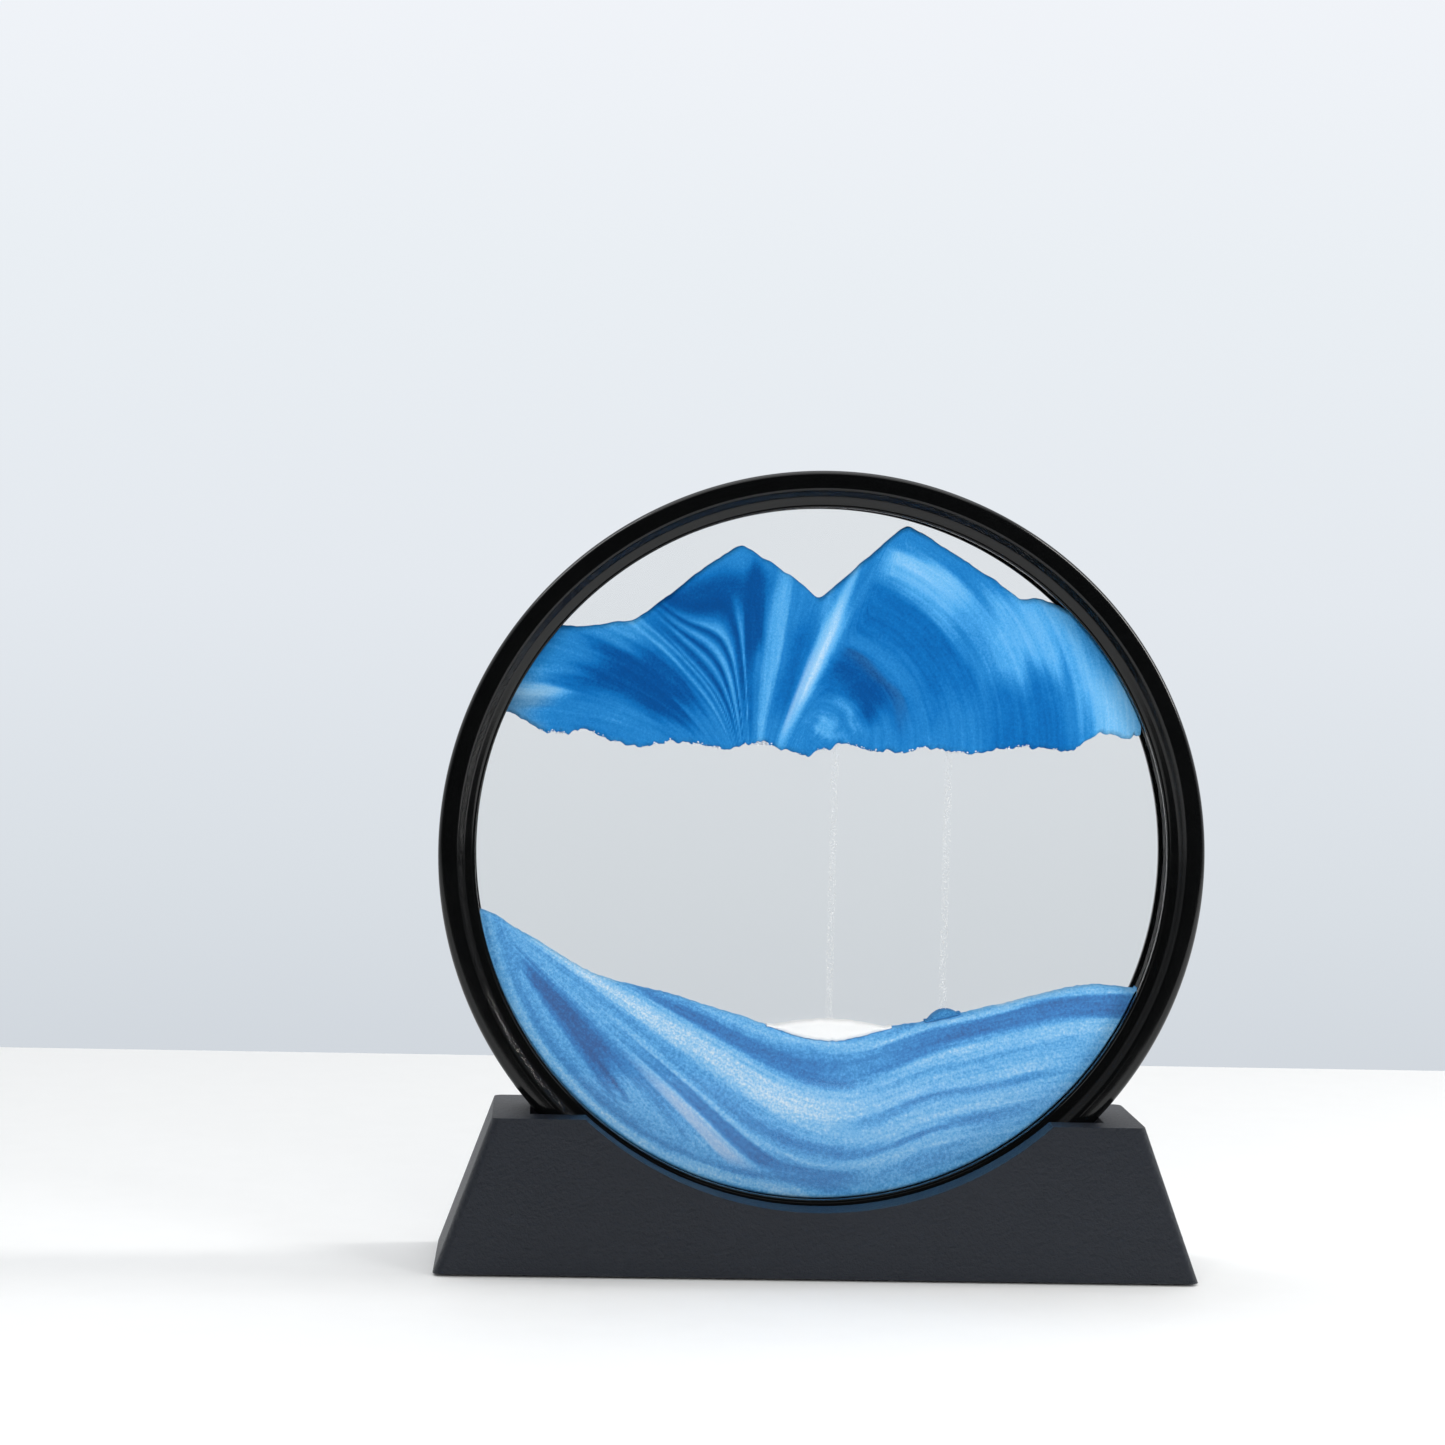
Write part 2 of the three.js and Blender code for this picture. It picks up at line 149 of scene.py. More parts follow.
def stacked_block(name, levels):
    """Skins plans of equal point counts, each (z, length, depth, radius), into a closed block."""
    points = []
    for z, length, depth, radius in levels:
        points += [(x, y, z) for x, y in rounded_plan(length, depth, radius)]
    count = len(points) // len(levels)
    faces = [list(range(count))[::-1], [len(points) - count + i for i in range(count)]]
    for level in range(len(levels) - 1):
        low = level * count
        for i in range(count):
            after = (i + 1) % count
            faces.append((low + i, low + after, low + count + after, low + count + i))
    return piece_from(name, points, faces)


def drum(name, radius, low, high, centre, axis="Y", steps=256):
    """A closed cylinder about Y or Z, for cutting."""
    points = []
    for along in (low, high):
        for i in range(steps):
            a = 2 * math.pi * i / steps
            u, v = radius * math.cos(a), radius * math.sin(a)
            if axis == "Y":
                points.append((centre[0] + u, along, centre[1] + v))
            else:
                points.append((centre[0] + u, centre[1] + v, along))
    faces = [list(range(steps)), [2 * steps - 1 - i for i in range(steps)]]
    for i in range(steps):
        after = (i + 1) % steps
        faces.append((i, i + steps, after + steps, after))
    if axis != "Y":
        faces = [tuple(reversed(face)) for face in faces]
    return piece_from(name, points, faces)


def turned(name, profile, centre, steps=64):
    """Turns an open profile of (radius, z), from the axis below to the axis above, about Z."""
    ring = profile[1:-1]
    points = [(centre[0], centre[1], profile[0][1])]
    for radius, z in ring:
        for i in range(steps):
            a = 2 * math.pi * i / steps
            points.append((centre[0] + radius * math.cos(a), centre[1] + radius * math.sin(a), z))
    points.append((centre[0], centre[1], profile[-1][1]))
    last = len(points) - 1
    faces = []
    for i in range(steps):
        after = (i + 1) % steps
        faces.append((0, 1 + after, 1 + i))
        top = 1 + (len(ring) - 1) * steps
        faces.append((last, top + i, top + after))
        for level in range(len(ring) - 1):
            low = 1 + level * steps
            faces.append((low + i, low + after, low + steps + after, low + steps + i))
    return piece_from(name, points, faces)


# ----- node helpers


class Value:
    """One output in a node tree. Arithmetic on it adds Math nodes."""

    def __init__(self, tree, socket):
        self.tree = tree
        self.socket = socket

    def maths(self, operation, first, second):
        node = self.tree.nodes.new("ShaderNodeMath")
        node.operation = operation
        for place, term in enumerate((first, second)):
            if isinstance(term, Value):
                self.tree.links.new(term.socket, node.inputs[place])
            else:
                node.inputs[place].default_value = term
        return Value(self.tree, node.outputs[0])

    def __add__(self, other):
        return self.maths("ADD", self, other)

    __radd__ = __add__

    def __sub__(self, other):
        return self.maths("SUBTRACT", self, other)

    def __rsub__(self, other):
        return self.maths("SUBTRACT", other, self)

    def __mul__(self, other):
        return self.maths("MULTIPLY", self, other)

    __rmul__ = __mul__

    def clipped(self):
        return self.maths("MAXIMUM", self.maths("MINIMUM", self, 1.0), 0.0)


class Bench:
    """Builds nodes in one tree."""

    def __init__(self, tree):
        self.tree = tree

    def node(self, kind, settings=None, values=None, out=0):
        """A node: its settings are set first, then the values or links of its sockets."""
        node = self.tree.nodes.new(kind)
        for key, setting in (settings or {}).items():
            if key == "stops":
                self._stops(node.color_ramp, setting)
            else:
                setattr(node, key, setting)
        for key, value in (values or {}).items():
            if isinstance(value, Value):
                self.tree.links.new(value.socket, node.inputs[key])
            else:
                node.inputs[key].default_value = value
        return Value(self.tree, node.outputs[out])

    @staticmethod
    def _stops(ramp, stops):
        while len(ramp.elements) < len(stops):
            ramp.elements.new(0.5)
        for element, (place, colour) in zip(ramp.elements, stops):
            element.position = place
            element.color = (*colour, 1)

    def mixed(self, share, first, second):
        """Colour mixed from two colours."""
        first, second = ((*c, 1) if isinstance(c, tuple) else c for c in (first, second))
        return self.node("ShaderNodeMix", {"data_type": "RGBA"}, {0: share, 6: first, 7: second}, out=2)

    def noise(self, place, scale, detail=2.0, roughness=0.5):
        """A scale of 1000 gives grains about 1 mm wide."""
        return self.node("ShaderNodeTexNoise", None,
                         {"Vector": place, "Scale": scale, "Detail": detail, "Roughness": roughness})

    def scaled(self, place, factors):
        return self.node("ShaderNodeVectorMath", {"operation": "MULTIPLY"}, {0: place, 1: factors})

    def attribute(self, name, out=2):
        return self.node("ShaderNodeAttribute", {"attribute_name": name}, out=out)

    def bump(self, height, distance, strength=1.0, normal=None):
        values = {"Height": height, "Distance": distance, "Strength": strength}
        if normal is not None:
            values["Normal"] = normal
        return self.node("ShaderNodeBump", None, values)

    def asked(self):
        """The tree's own inputs, by name."""
        given = self.tree.nodes.new("NodeGroupInput")
        return {socket.name: Value(self.tree, socket) for socket in given.outputs if socket.name}

    def deliver(self, geometry, finish):
        """Gives the geometry its material and makes it the tree's result."""
        coated = self.node("GeometryNodeSetMaterial", None, {"Geometry": geometry, "Material": finish})
        result = self.tree.nodes.new("NodeGroupOutput")
        self.tree.links.new(coated.socket, result.inputs[0])


def geometry_tree(name, inputs, result):
    """An empty tree that asks for the given inputs, each (label, kind), and gives one geometry."""
    tree = bpy.data.node_groups.new(name, "GeometryNodeTree")
    for label, kind in inputs:
        tree.interface.new_socket(label, in_out="INPUT", socket_type="NodeSocket" + kind)
    tree.interface.new_socket(result, in_out="OUTPUT", socket_type="NodeSocketGeometry")
    return tree


class Finish(Bench):
    """One material with a Principled shader."""

    def __init__(self, name):
        self.material = bpy.data.materials.new(name)
        self.material.use_nodes = True
        super().__init__(self.material.node_tree)
        self.tree.nodes.clear()
        self.output = self.tree.nodes.new("ShaderNodeOutputMaterial")

    def place(self):
        return self.node("ShaderNodeTexCoord", out=3)

    def principled(self, values):
        return self.node("ShaderNodeBsdfPrincipled", None, values)

    def done(self, shader):
        self.tree.links.new(shader.socket, self.output.inputs["Surface"])
        return self.material


def srgb(red, green, blue):
    """Linear colour from everyday 0 to 255 values."""
    def linear(c):
        c /= 255
        return c / 12.92 if c <= 0.04045 else ((c + 0.055) / 1.055) ** 2.4
    return tuple(linear(c) for c in (red, green, blue))


# ----- finishes


def gloss_black_frame():
    """Polished black moulding with faint waviness and fine handling haze."""
    f = Finish("gloss_black_frame")
    haze = f.noise(f.place(), 160.0, 4.0, 0.6)
    waviness = f.noise(f.place(), 60.0, 2.0)
    pores = f.noise(f.place(), 2600.0, 1.0)
    soft = f.bump(waviness, 0.00025, 0.35)
    fine = f.bump(pores, 0.00001, 0.3, soft)
    return f.done(f.principled({
        "Base Color": f.mixed(haze, (0.0012, 0.0014, 0.0015), (0.0026, 0.0028, 0.0029)),
        "Roughness": 0.10 + haze * 0.10,
        "IOR": 1.42,
        "Normal": fine,
    }))


def grained_black_base():
    """Matte black moulding with a fine sand-blasted grain."""
    f = Finish("grained_black_base")
    place = f.place()
    grain = f.noise(place, 1150.0, 3.0, 0.65)
    speck = f.noise(place, 3800.0, 2.0, 0.6)
    cloud = f.noise(place, 22.0, 3.0, 0.55)
    rough_face = f.bump(grain, 0.00024, 1.0)
    fine_face = f.bump(speck, 0.00005, 0.5, rough_face)
    tone = (0.1 + cloud * 0.2 + grain * 0.7).clipped()
    return f.done(f.principled({
        "Base Color": f.mixed(tone, (0.0020, 0.0030, 0.0058), (0.0136, 0.0172, 0.0248)),
        "Roughness": 0.41 + grain * 0.16,
        "IOR": 1.52,
        "Normal": fine_face,
    }))


def matte_black_cover():
    """Matte moulding under the stand."""
    f = Finish("matte_black_cover")
    grain = f.noise(f.place(), 1100.0, 3.0, 0.6)
    return f.done(f.principled({
        "Base Color": f.mixed(grain, (0.009, 0.0095, 0.0105), (0.017, 0.018, 0.02)),
        "Roughness": 0.55 + grain * 0.2,
        "Normal": f.bump(grain, 0.0001, 0.5),
    }))


def soft_rubber(name, dark, light):
    """Dull rubber with a faint mottle."""
    f = Finish(name)
    mottle = f.noise(f.place(), 700.0, 4.0, 0.65)
    return f.done(f.principled({
        "Base Color": f.mixed(mottle, dark, light),
        "Roughness": 0.62 + mottle * 0.25,
        "Normal": f.bump(mottle, 0.00008, 0.5),
    }))


def clear_pane():
    """Thin clear glass: what is behind shows through and the face mirrors a little."""
    f = Finish("clear_pane")
    through = f.node("ShaderNodeBsdfTransparent", None, {"Color": (0.992, 0.992, 0.990, 1)})
    smear = f.noise(f.place(), 25.0, 3.0, 0.6)
    mirror = f.node("ShaderNodeBsdfGlossy", None, {"Roughness": 0.02 + smear * 0.03})
    fresnel = f.node("ShaderNodeFresnel", None, {"IOR": 1.45})
    return f.done(f.node("ShaderNodeMixShader", None, {0: fresnel * 0.3, 1: through, 2: mirror}))


def clear_fluid():
    """Clear fluid, all but free of mirror where it meets the glass."""
    f = Finish("clear_fluid")
    through = f.node("ShaderNodeBsdfTransparent", None, {"Color": (0.998, 0.997, 0.994, 1)})
    swirl = f.noise(f.place(), 30.0, 2.0)
    mirror = f.node("ShaderNodeBsdfGlossy", None, {"Roughness": 0.1})
    return f.done(f.node("ShaderNodeMixShader", None, {0: swirl * 0.006, 1: through, 2: mirror}))


SAND_RAMP = (
    (0.00, srgb(0, 58, 122)),
    (0.20, srgb(2, 80, 150)),
    (0.35, srgb(12, 110, 184)),
    (0.50, srgb(40, 134, 203)),
    (0.62, srgb(76, 164, 226)),
    (0.75, srgb(118, 188, 236)),
    (0.87, srgb(165, 209, 241)),
    (1.00, srgb(226, 237, 246)),
)
ASH_RAMP = ((0.0, srgb(26, 50, 66)), (0.5, srgb(84, 130, 160)), (1.0, srgb(168, 196, 212)))


def layered_sand(name, streak_scale, streak_depth, grain_depth, grain_scale, dust):
    """Blue and white sand. The painted shades are broken up by streaks along the way it
    slid and by single grains."""
    f = Finish(name)
    place = f.place()
    flow = f.attribute("flow", out=1)
    tone = f.attribute("tone")
    blush = f.attribute("blush")
    ash = f.attribute("ash")
    streak = f.noise(f.scaled(flow, (streak_scale, streak_scale * 0.055, 1.0)), 1.0, 4.0, 0.6)
    grain = f.noise(place, grain_scale, 2.0, 0.7)
    cloud = f.noise(place, 170.0, 4.0, 0.6)
    shade = tone + (streak - 0.5) * streak_depth + (grain - 0.5) * grain_depth + (cloud - 0.5) * 0.10
    blue = f.node("ShaderNodeValToRGB", {"stops": SAND_RAMP}, {0: shade.clipped()})
    rosy = f.mixed((blush + (streak - 0.5) * blush * 0.8).clipped(), blue, srgb(196, 200, 222))
    grey = f.node("ShaderNodeValToRGB", {"stops": ASH_RAMP},
                  {0: (0.5 + (shade - 0.5) * 1.4).clipped()})
    dusty = f.mixed(dust, rosy, srgb(168, 190, 208))
    colour = f.mixed(ash.clipped(), dusty, grey)
    return f.done(f.principled({
        "Base Color": colour,
        "Roughness": 0.78 + grain * 0.18,
        "Specular IOR Level": 0.15,
        "Normal": f.bump(grain, 0.00012, 0.5),
    }))


def loose_sand(name, dark, light, scale):
    """Sand of one colour, grain by grain."""
    f = Finish(name)
    grain = f.noise(f.place(), scale, 2.0, 0.7)
    return f.done(f.principled({
        "Base Color": f.mixed((grain * 2.2 - 0.6).clipped(), dark, light),
        "Roughness": 0.8 + grain * 0.15,
        "Specular IOR Level": 0.2,
        "Normal": f.bump(grain, 0.00014, 0.6),
    }))


def table_top():
    """Off-white board."""
    f = Finish("table_top")
    fibre = f.noise(f.place(), 90.0, 4.0, 0.6)
    return f.done(f.principled({
        "Base Color": f.mixed(fibre, (0.86, 0.865, 0.86), (0.89, 0.895, 0.89)),
        "Roughness": 0.55 + fibre * 0.1,
        "Specular IOR Level": 0.1,
    }))


frame_finish = gloss_black_frame()
base_finish = grained_black_base()
cover_finish = matte_black_cover()
foot_finish = soft_rubber("foot_rubber", (0.004, 0.004, 0.0042), (0.010, 0.010, 0.0105))
stopper_finish = soft_rubber("stopper_rubber", (0.022, 0.022, 0.024), (0.042, 0.042, 0.045))
spacer_finish = soft_rubber("spacer_bar", (0.005, 0.005, 0.006), (0.011, 0.011, 0.012))
glue_finish = soft_rubber("glue_bead", (0.009, 0.009, 0.010), (0.018, 0.018, 0.019))
pane_finish = clear_pane()
fluid_finish = clear_fluid()
upper_finish = layered_sand("upper_layered_sand", 0.75, 0.26, 0.24, 1900.0, 0.0)
lower_finish = layered_sand("lower_layered_sand", 0.9, 0.36, 0.60, 1800.0, 0.14)
white_finish = loose_sand("white_sand", (0.90, 0.91, 0.91), (0.99, 0.99, 0.99), 2600.0)
blue_finish = loose_sand("dark_blue_sand", srgb(34, 104, 168), srgb(84, 156, 210), 2600.0)
thread_finish = loose_sand("falling_grains", (0.84, 0.85, 0.86), (0.97, 0.98, 0.98), 1800.0)
froth_finish = loose_sand("froth", (0.78, 0.82, 0.86), (0.97, 0.98, 0.99), 1500.0)
table_finish = table_top()

# ----- black frame, two halves

SWEEP_RADIUS = 85.0
SECTION_STEPS = 320
CAP_HEAD = 1.6
CAP_GAP = 0.3
PORT_RADIUS = (cap_high.x - cap_low.x) / 2 + CAP_GAP
PORT_SHOULDER = cap_high.z - CAP_HEAD - CAP_GAP
STEM_RADIUS = 1.8
STEM_FLOOR = 83.0
POCKET_DEPTH = 12.0


def frame_profile():
    """Section of one half: (distance from the disc's axis, distance from the middle plane)."""
    outer = RIM_RADIUS
    crest = RIM_HALF_DEPTH
    points = [(85.3, SEAM_HALF), (outer - 0.3, SEAM_HALF), (outer, SEAM_HALF + 0.3)]
    points += arc((outer - 1.9, crest - 1.9), 1.9, 0, 88, 9)
    points += [(86.3, crest), (85.6, crest - 0.04)]
    points += arc((85.2, crest - 1.15), 1.1, 84, 142, 6)
    points += [(83.75, 8.85), (83.3, 8.28)]
    points += arc((82.3, 8.75), 1.05, -42, -72, 4)
    points += [(81.8, 7.42), (81.2, 7.17)]
    points += arc((80.95, 6.65), 0.45, 68, 180, 5)
    points += [(80.5, 5.5), (80.7, 5.3), (83.4, 5.3), (84.0, 7.9), (85.0, 7.9), (85.3, 5.3)]
    return points


def frame_tree():
    """Sweeps the section round the disc and cuts the filler port's pocket."""
    tree = geometry_tree("frame_half", (
        ("Section", "Geometry"), ("Sweep radius", "Float"), ("Turn", "Float"),
        ("Port radius", "Float"), ("Port shoulder", "Float"),
        ("Stem radius", "Float"), ("Stem floor", "Float"), ("Finish", "Material")), "Frame half")
    b = Bench(tree)
    ask = b.asked()
    path = b.node("GeometryNodeCurvePrimitiveCircle", None,
                  {"Resolution": SECTION_STEPS, "Radius": ask["Sweep radius"]})
    section = b.node("GeometryNodeMeshToCurve", None, {0: ask["Section"]})
    swept = b.node("GeometryNodeCurveToMesh", None, {"Curve": path, "Profile Curve": section})
    tilt = b.node("ShaderNodeCombineXYZ", None, {"X": ask["Turn"]})
    upright = b.node("GeometryNodeTransform", None, {"Geometry": swept, "Rotation": tilt})
    pockets = []
    for radius, floor in (("Port radius", "Port shoulder"), ("Stem radius", "Stem floor")):
        pillar = b.node("GeometryNodeMeshCylinder", None,
                        {"Vertices": 48, "Radius": ask[radius], "Depth": POCKET_DEPTH * MM})
        lift = b.node("ShaderNodeCombineXYZ", None, {"Z": ask[floor] + POCKET_DEPTH * MM / 2})
        pockets.append(b.node("GeometryNodeTransform", None, {"Geometry": pillar, "Translation": lift}))
    cut = tree.nodes.new("GeometryNodeMeshBoolean")
    cut.operation = "DIFFERENCE"
    cut.solver = "MANIFOLD"
    tree.links.new(upright.socket, cut.inputs["Mesh 1"])
    for pocket in reversed(pockets):
        tree.links.new(pocket.socket, cut.inputs["Mesh 2"])
    solid = b.node("GeometryNodeRealizeInstances", None, {0: Value(tree, cut.outputs["Mesh"])})
    b.deliver(solid, ask["Finish"])
    return tree


def grown(piece, tree, inputs):
    """Runs a tree on a piece with its named inputs set, and leaves plain mesh."""
    modifier = piece.modifiers.new("tree", "NODES")
    modifier.node_group = tree
    for item in tree.interface.items_tree:
        if item.item_type == "SOCKET" and item.in_out == "INPUT" and item.name in inputs:
            modifier[item.identifier] = inputs[item.name]
    return baked(piece)


def frame_half(name, tree, turn):
    """One half of the frame, swept round the disc's axis."""
    section = [(out - SWEEP_RADIUS, along, 0.0) for out, along in frame_profile()]
    half = piece_from(name, section, [])
    count = len(section)
    half.data.edges.add(count)
    for i in range(count):
        half.data.edges[i].vertices = (i, (i + 1) % count)
    grown(half, tree, {
        "Sweep radius": SWEEP_RADIUS * MM,
        "Turn": turn,
        "Port radius": PORT_RADIUS * MM,
        "Port shoulder": (PORT_SHOULDER - DISC_Z) * MM,
        "Stem radius": STEM_RADIUS * MM,
        "Stem floor": STEM_FLOOR * MM,
        "Finish": frame_finish,
    })
    half.data.transform(Matrix.Translation((0, 0, DISC_Z * MM)))
    return smooth(half, 32)


frame_half_tree = frame_tree()
front_ring = frame_half("front_ring_moulding", frame_half_tree, -math.pi / 2)
rear_ring = frame_half("rear_ring_moulding", frame_half_tree, math.pi / 2)

# ----- filler cap

cap_top = cap_high.z
cap_radius = (cap_high.x - cap_low.x) / 2
cap_profile = [(0, cap_low.z), (1.3, cap_low.z), (1.5, cap_low.z + 0.2)]
cap_profile += [(1.5, cap_top - CAP_HEAD), (cap_radius - 0.15, cap_top - CAP_HEAD)]
cap_profile += [(cap_radius, cap_top - CAP_HEAD + 0.15), (cap_radius, cap_top - 0.75)]
cap_profile += arc((cap_radius - 0.5, cap_top - 0.75), 0.5, 20, 80, 4)
cap_profile += [(2.2, cap_top - 0.16), (2.0, cap_top - 0.4)]
cap_profile += [(1.6, cap_top - 0.4), (1.4, cap_top - 0.12)]
cap_profile += [(0.7, cap_top - 0.02), (0, cap_top)]
cap = turned("stopper_cap", cap_profile, (0, 0))
cap.data.materials.append(stopper_finish)
smooth(cap, 40)

# ----- base

BASE_LENGTH = shell_high.x - shell_low.x
BASE_DEPTH = shell_high.y - shell_low.y
BASE_FOOT = shell_low.z
BASE_TOP = shell_high.z
BASE_TOP_LENGTH = 150.5
BASE_TOP_DEPTH = 38.0
BASE_WALL = 2.4
GROOVE_RADIUS = 91.6
GROOVE_HALF = 11.4
GROOVE_Z = DISC_Z + 2.2
SCOOP_RADIUS = 81.1
EDGE_ROUNDING = 0.95
CORNER_RADIUS = 2.2
SLICE_REACH = 70
SLICE_STEP = 5.0
BOSS_RADIUS = 3.5
BOSS_FROM_END = 15
BOSS_FROM_SIDE = 13
BOSS_FOOT = cover_low.z + 2.3


def base_plan(z, inset=0.0):
    """The sloping block's plan at one height."""
    share = (z - BASE_FOOT) / (BASE_TOP - BASE_FOOT)
    length = BASE_LENGTH + (BASE_TOP_LENGTH - BASE_LENGTH) * share - 2 * inset
    depth = BASE_DEPTH + (BASE_TOP_DEPTH - BASE_DEPTH) * share - 2 * inset
    return (z, length, depth, CORNER_RADIUS)


def base_moulding():
    """The stand: a sloping block with the groove and the scoop cut in, then hollowed."""
    block = stacked_block("base_moulding", [base_plan(BASE_FOOT), base_plan(BASE_TOP)])
    cut_away(block, drum("groove", GROOVE_RADIUS, -GROOVE_HALF, GROOVE_HALF, (0, GROOVE_Z)))
    cut_away(block, drum("scoop", SCOOP_RADIUS, -BASE_DEPTH, BASE_DEPTH, (0, DISC_Z)))
    sliced(block, np.arange(-SLICE_REACH, SLICE_REACH + 1, SLICE_STEP))
    edge = block.modifiers.new("edge", "BEVEL")
    edge.limit_method = "ANGLE"
    edge.angle_limit = math.radians(30)
    edge.width = EDGE_ROUNDING * MM
    edge.segments = 4
    edge.miter_outer = "MITER_ARC"
    edge.use_clamp_overlap = True
    baked(block)
    hollow = stacked_block("hollow", [
        base_plan(BASE_FOOT - 1, BASE_WALL), base_plan(BASE_TOP - BASE_WALL, BASE_WALL)])
    cut_away(hollow, drum("groove_wall", GROOVE_RADIUS + BASE_WALL, -GROOVE_HALF - BASE_WALL,
                          GROOVE_HALF + BASE_WALL, (0, GROOVE_Z)))
    cut_away(hollow, drum("scoop_wall", SCOOP_RADIUS + BASE_WALL, -BASE_DEPTH, BASE_DEPTH, (0, DISC_Z)))
    for x in (-BASE_LENGTH / 2 + BOSS_FROM_END, BASE_LENGTH / 2 - BOSS_FROM_END):
        for y in (-BASE_DEPTH / 2 + BOSS_FROM_SIDE, BASE_DEPTH / 2 - BOSS_FROM_SIDE):
            cut_away(hollow, drum("boss", BOSS_RADIUS, BOSS_FOOT, BASE_TOP, (x, y), "Z", 32))
    cut_away(block, hollow)
    block.data.materials.clear()
    block.data.materials.append(base_finish)
    smooth(block, 28)
    weighted = block.modifiers.new("face_weight", "WEIGHTED_NORMAL")
    weighted.keep_sharp = True
    weighted.weight = 80
    return baked(block)


base = base_moulding()

# ----- foot pads


def foot_tree():
    """Sets one pad on every point of the base's foot plan."""
    tree = geometry_tree("foot_pads", (
        ("Places", "Geometry"), ("Pad", "Object"), ("Finish", "Material")), "Pads")
    b = Bench(tree)
    ask = b.asked()
    pad = b.node("GeometryNodeObjectInfo", None, {"Object": ask["Pad"]}, out="Geometry")
    points = b.node("GeometryNodeMeshToPoints", None, {"Mesh": ask["Places"]})
    set_out = b.node("GeometryNodeInstanceOnPoints", None, {"Points": points, "Instance": pad})
    b.deliver(b.node("GeometryNodeRealizeInstances", None, {0: set_out}), ask["Finish"])
    return tree


FOOT_NODES = ["foot_pad_front_left", "foot_pad_front_right",
              "foot_pad_rear_left", "foot_pad_rear_right"]
foot_boxes = [[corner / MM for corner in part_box(node)] for node in FOOT_NODES]
pad_radius = (foot_boxes[0][1].x - foot_boxes[0][0].x) / 2
pad_height = foot_boxes[0][1].z
pad_profile = [(0, 0.12), (3.2, 0.12), (3.5, 0.0), (pad_radius - 0.4, 0.0)]
pad_profile += arc((pad_radius - 0.3, 0.3), 0.3, -75, 0, 4)
pad_profile += [(pad_radius, pad_height - 0.1), (pad_radius - 0.1, pad_height), (0, pad_height)]
pad_pattern = turned("pad_pattern", pad_profile, (0, 0), 48)
foot_places = [((low.x + high.x) / 2, (low.y + high.y) / 2, 0.0) for low, high in foot_boxes]
feet = piece_from("foot_pads", foot_places, [])
grown(feet, foot_tree(), {"Pad": pad_pattern, "Finish": foot_finish})
bpy.data.objects.remove(pad_pattern)
smooth(feet, 40)

# ----- painting the sand
# Places on the sand are millimetres from the disc's centre: x to the right, z up.


def ripple(u, v, seed):
    """Smooth random field from -1 to 1, about one swell per unit."""
    table = np.random.default_rng(seed).uniform(-1, 1, (64, 64))
    iu, iv = np.floor(u).astype(int), np.floor(v).astype(int)
    fu, fv = u - iu, v - iv
    su, sv = fu * fu * (3 - 2 * fu), fv * fv * (3 - 2 * fv)
    near = table[iu % 64, iv % 64] * (1 - su) + table[(iu + 1) % 64, iv % 64] * su
    far = table[iu % 64, (iv + 1) % 64] * (1 - su) + table[(iu + 1) % 64, (iv + 1) % 64] * su
    return near * (1 - sv) + far * sv


def eased(share):
    """0 to 1 with a soft start and end."""
    share = np.clip(share, 0, 1)
    return share * share * (3 - 2 * share)


# A hill of sand: place of its top and its height, in shares of the cell's radius, and the slope
# that it falls by to the left and to the right.
HELD_HILLS = ((-0.5, 0.66, 0.1, 0.7), (-0.25, 0.885, 0.78, 0.72), (0.23, 0.945, 0.9, 0.64),
              (0.6, 0.75, 0.35, 0.45))
FALLEN_HILLS = ((-1.0, -0.17, 0.5, 0.62), (-0.4, -0.43, -0.22, 0.32), (0.8, -0.37, 0.25, 0.1))
HILL_ROUNDING = 0.015
HELD_FOOT = 0.31
HELD_FOOT_RISE = 0.1
HELD_FOOT_WAVE = 0.012
HELD_FOOT_WAVES = 4
# Small swells along the sand's edges: height, length and seed of each.
FOOT_SWELLS = ((0.9, 5, 20), (0.5, 1.7, 21), (0.25, 0.7, 22))
HELD_SWELLS = ((0.5, 8, 25), (0.2, 2.6, 26), (0.1, 1.1, 23))
FALLEN_SWELLS = ((0.35, 9, 27), (0.12, 0.9, 24))


def uneven(x, swells):
    return sum(height * ripple(x / length, x * 0, seed) for height, length, seed in swells)


def cell_wall(x):
    return np.sqrt(np.maximum(CELL_RADIUS ** 2 - x ** 2, 0))


def crest_height(hills, x):
    """The highest of the hills over x."""
    place = x / CELL_RADIUS
    heights = []
    for top_x, top, left, right in hills:
        away = np.hypot(place - top_x, HILL_ROUNDING) - HILL_ROUNDING
        heights.append(top - away * np.where(place < top_x, left, right))
    return CELL_RADIUS * np.max(heights, axis=0)


def gentle_crest(hills, x, spread):
    """The crest with the hollows between its hills filled in a little."""
    steps = np.array((-2, -1, 0, 1, 2)) * spread
    return sum(crest_height(hills, x + step) for step in steps) / len(steps)


def soft_bed_crest(x):
    """The fallen sand's crest, evened out for the layers under it."""
    return gentle_crest(FALLEN_HILLS, x, 6.0)


def upper_foot(x):
    """The ragged underside of the held sand."""
    place = x / CELL_RADIUS
    level = HELD_FOOT + HELD_FOOT_RISE * place ** 4
    wave = HELD_FOOT_WAVE * np.sin(place * HELD_FOOT_WAVES * 2 * math.pi)
    return np.maximum(CELL_RADIUS * (level + wave) + uneven(x, FOOT_SWELLS), -cell_wall(x))


def upper_crest(x):
    return np.minimum(gentle_crest(HELD_HILLS, x, 0.5) + uneven(x, HELD_SWELLS), cell_wall(x))


def lower_crest(x):
    return gentle_crest(FALLEN_HILLS, x, 2.5) + uneven(x, FALLEN_SWELLS)


# Shades of the sand, as places on its ramp.
DEEP, DUSK, BLUE, SKY, LIGHT, PALE, CREAM = 0.16, 0.31, 0.45, 0.56, 0.66, 0.77, 0.88

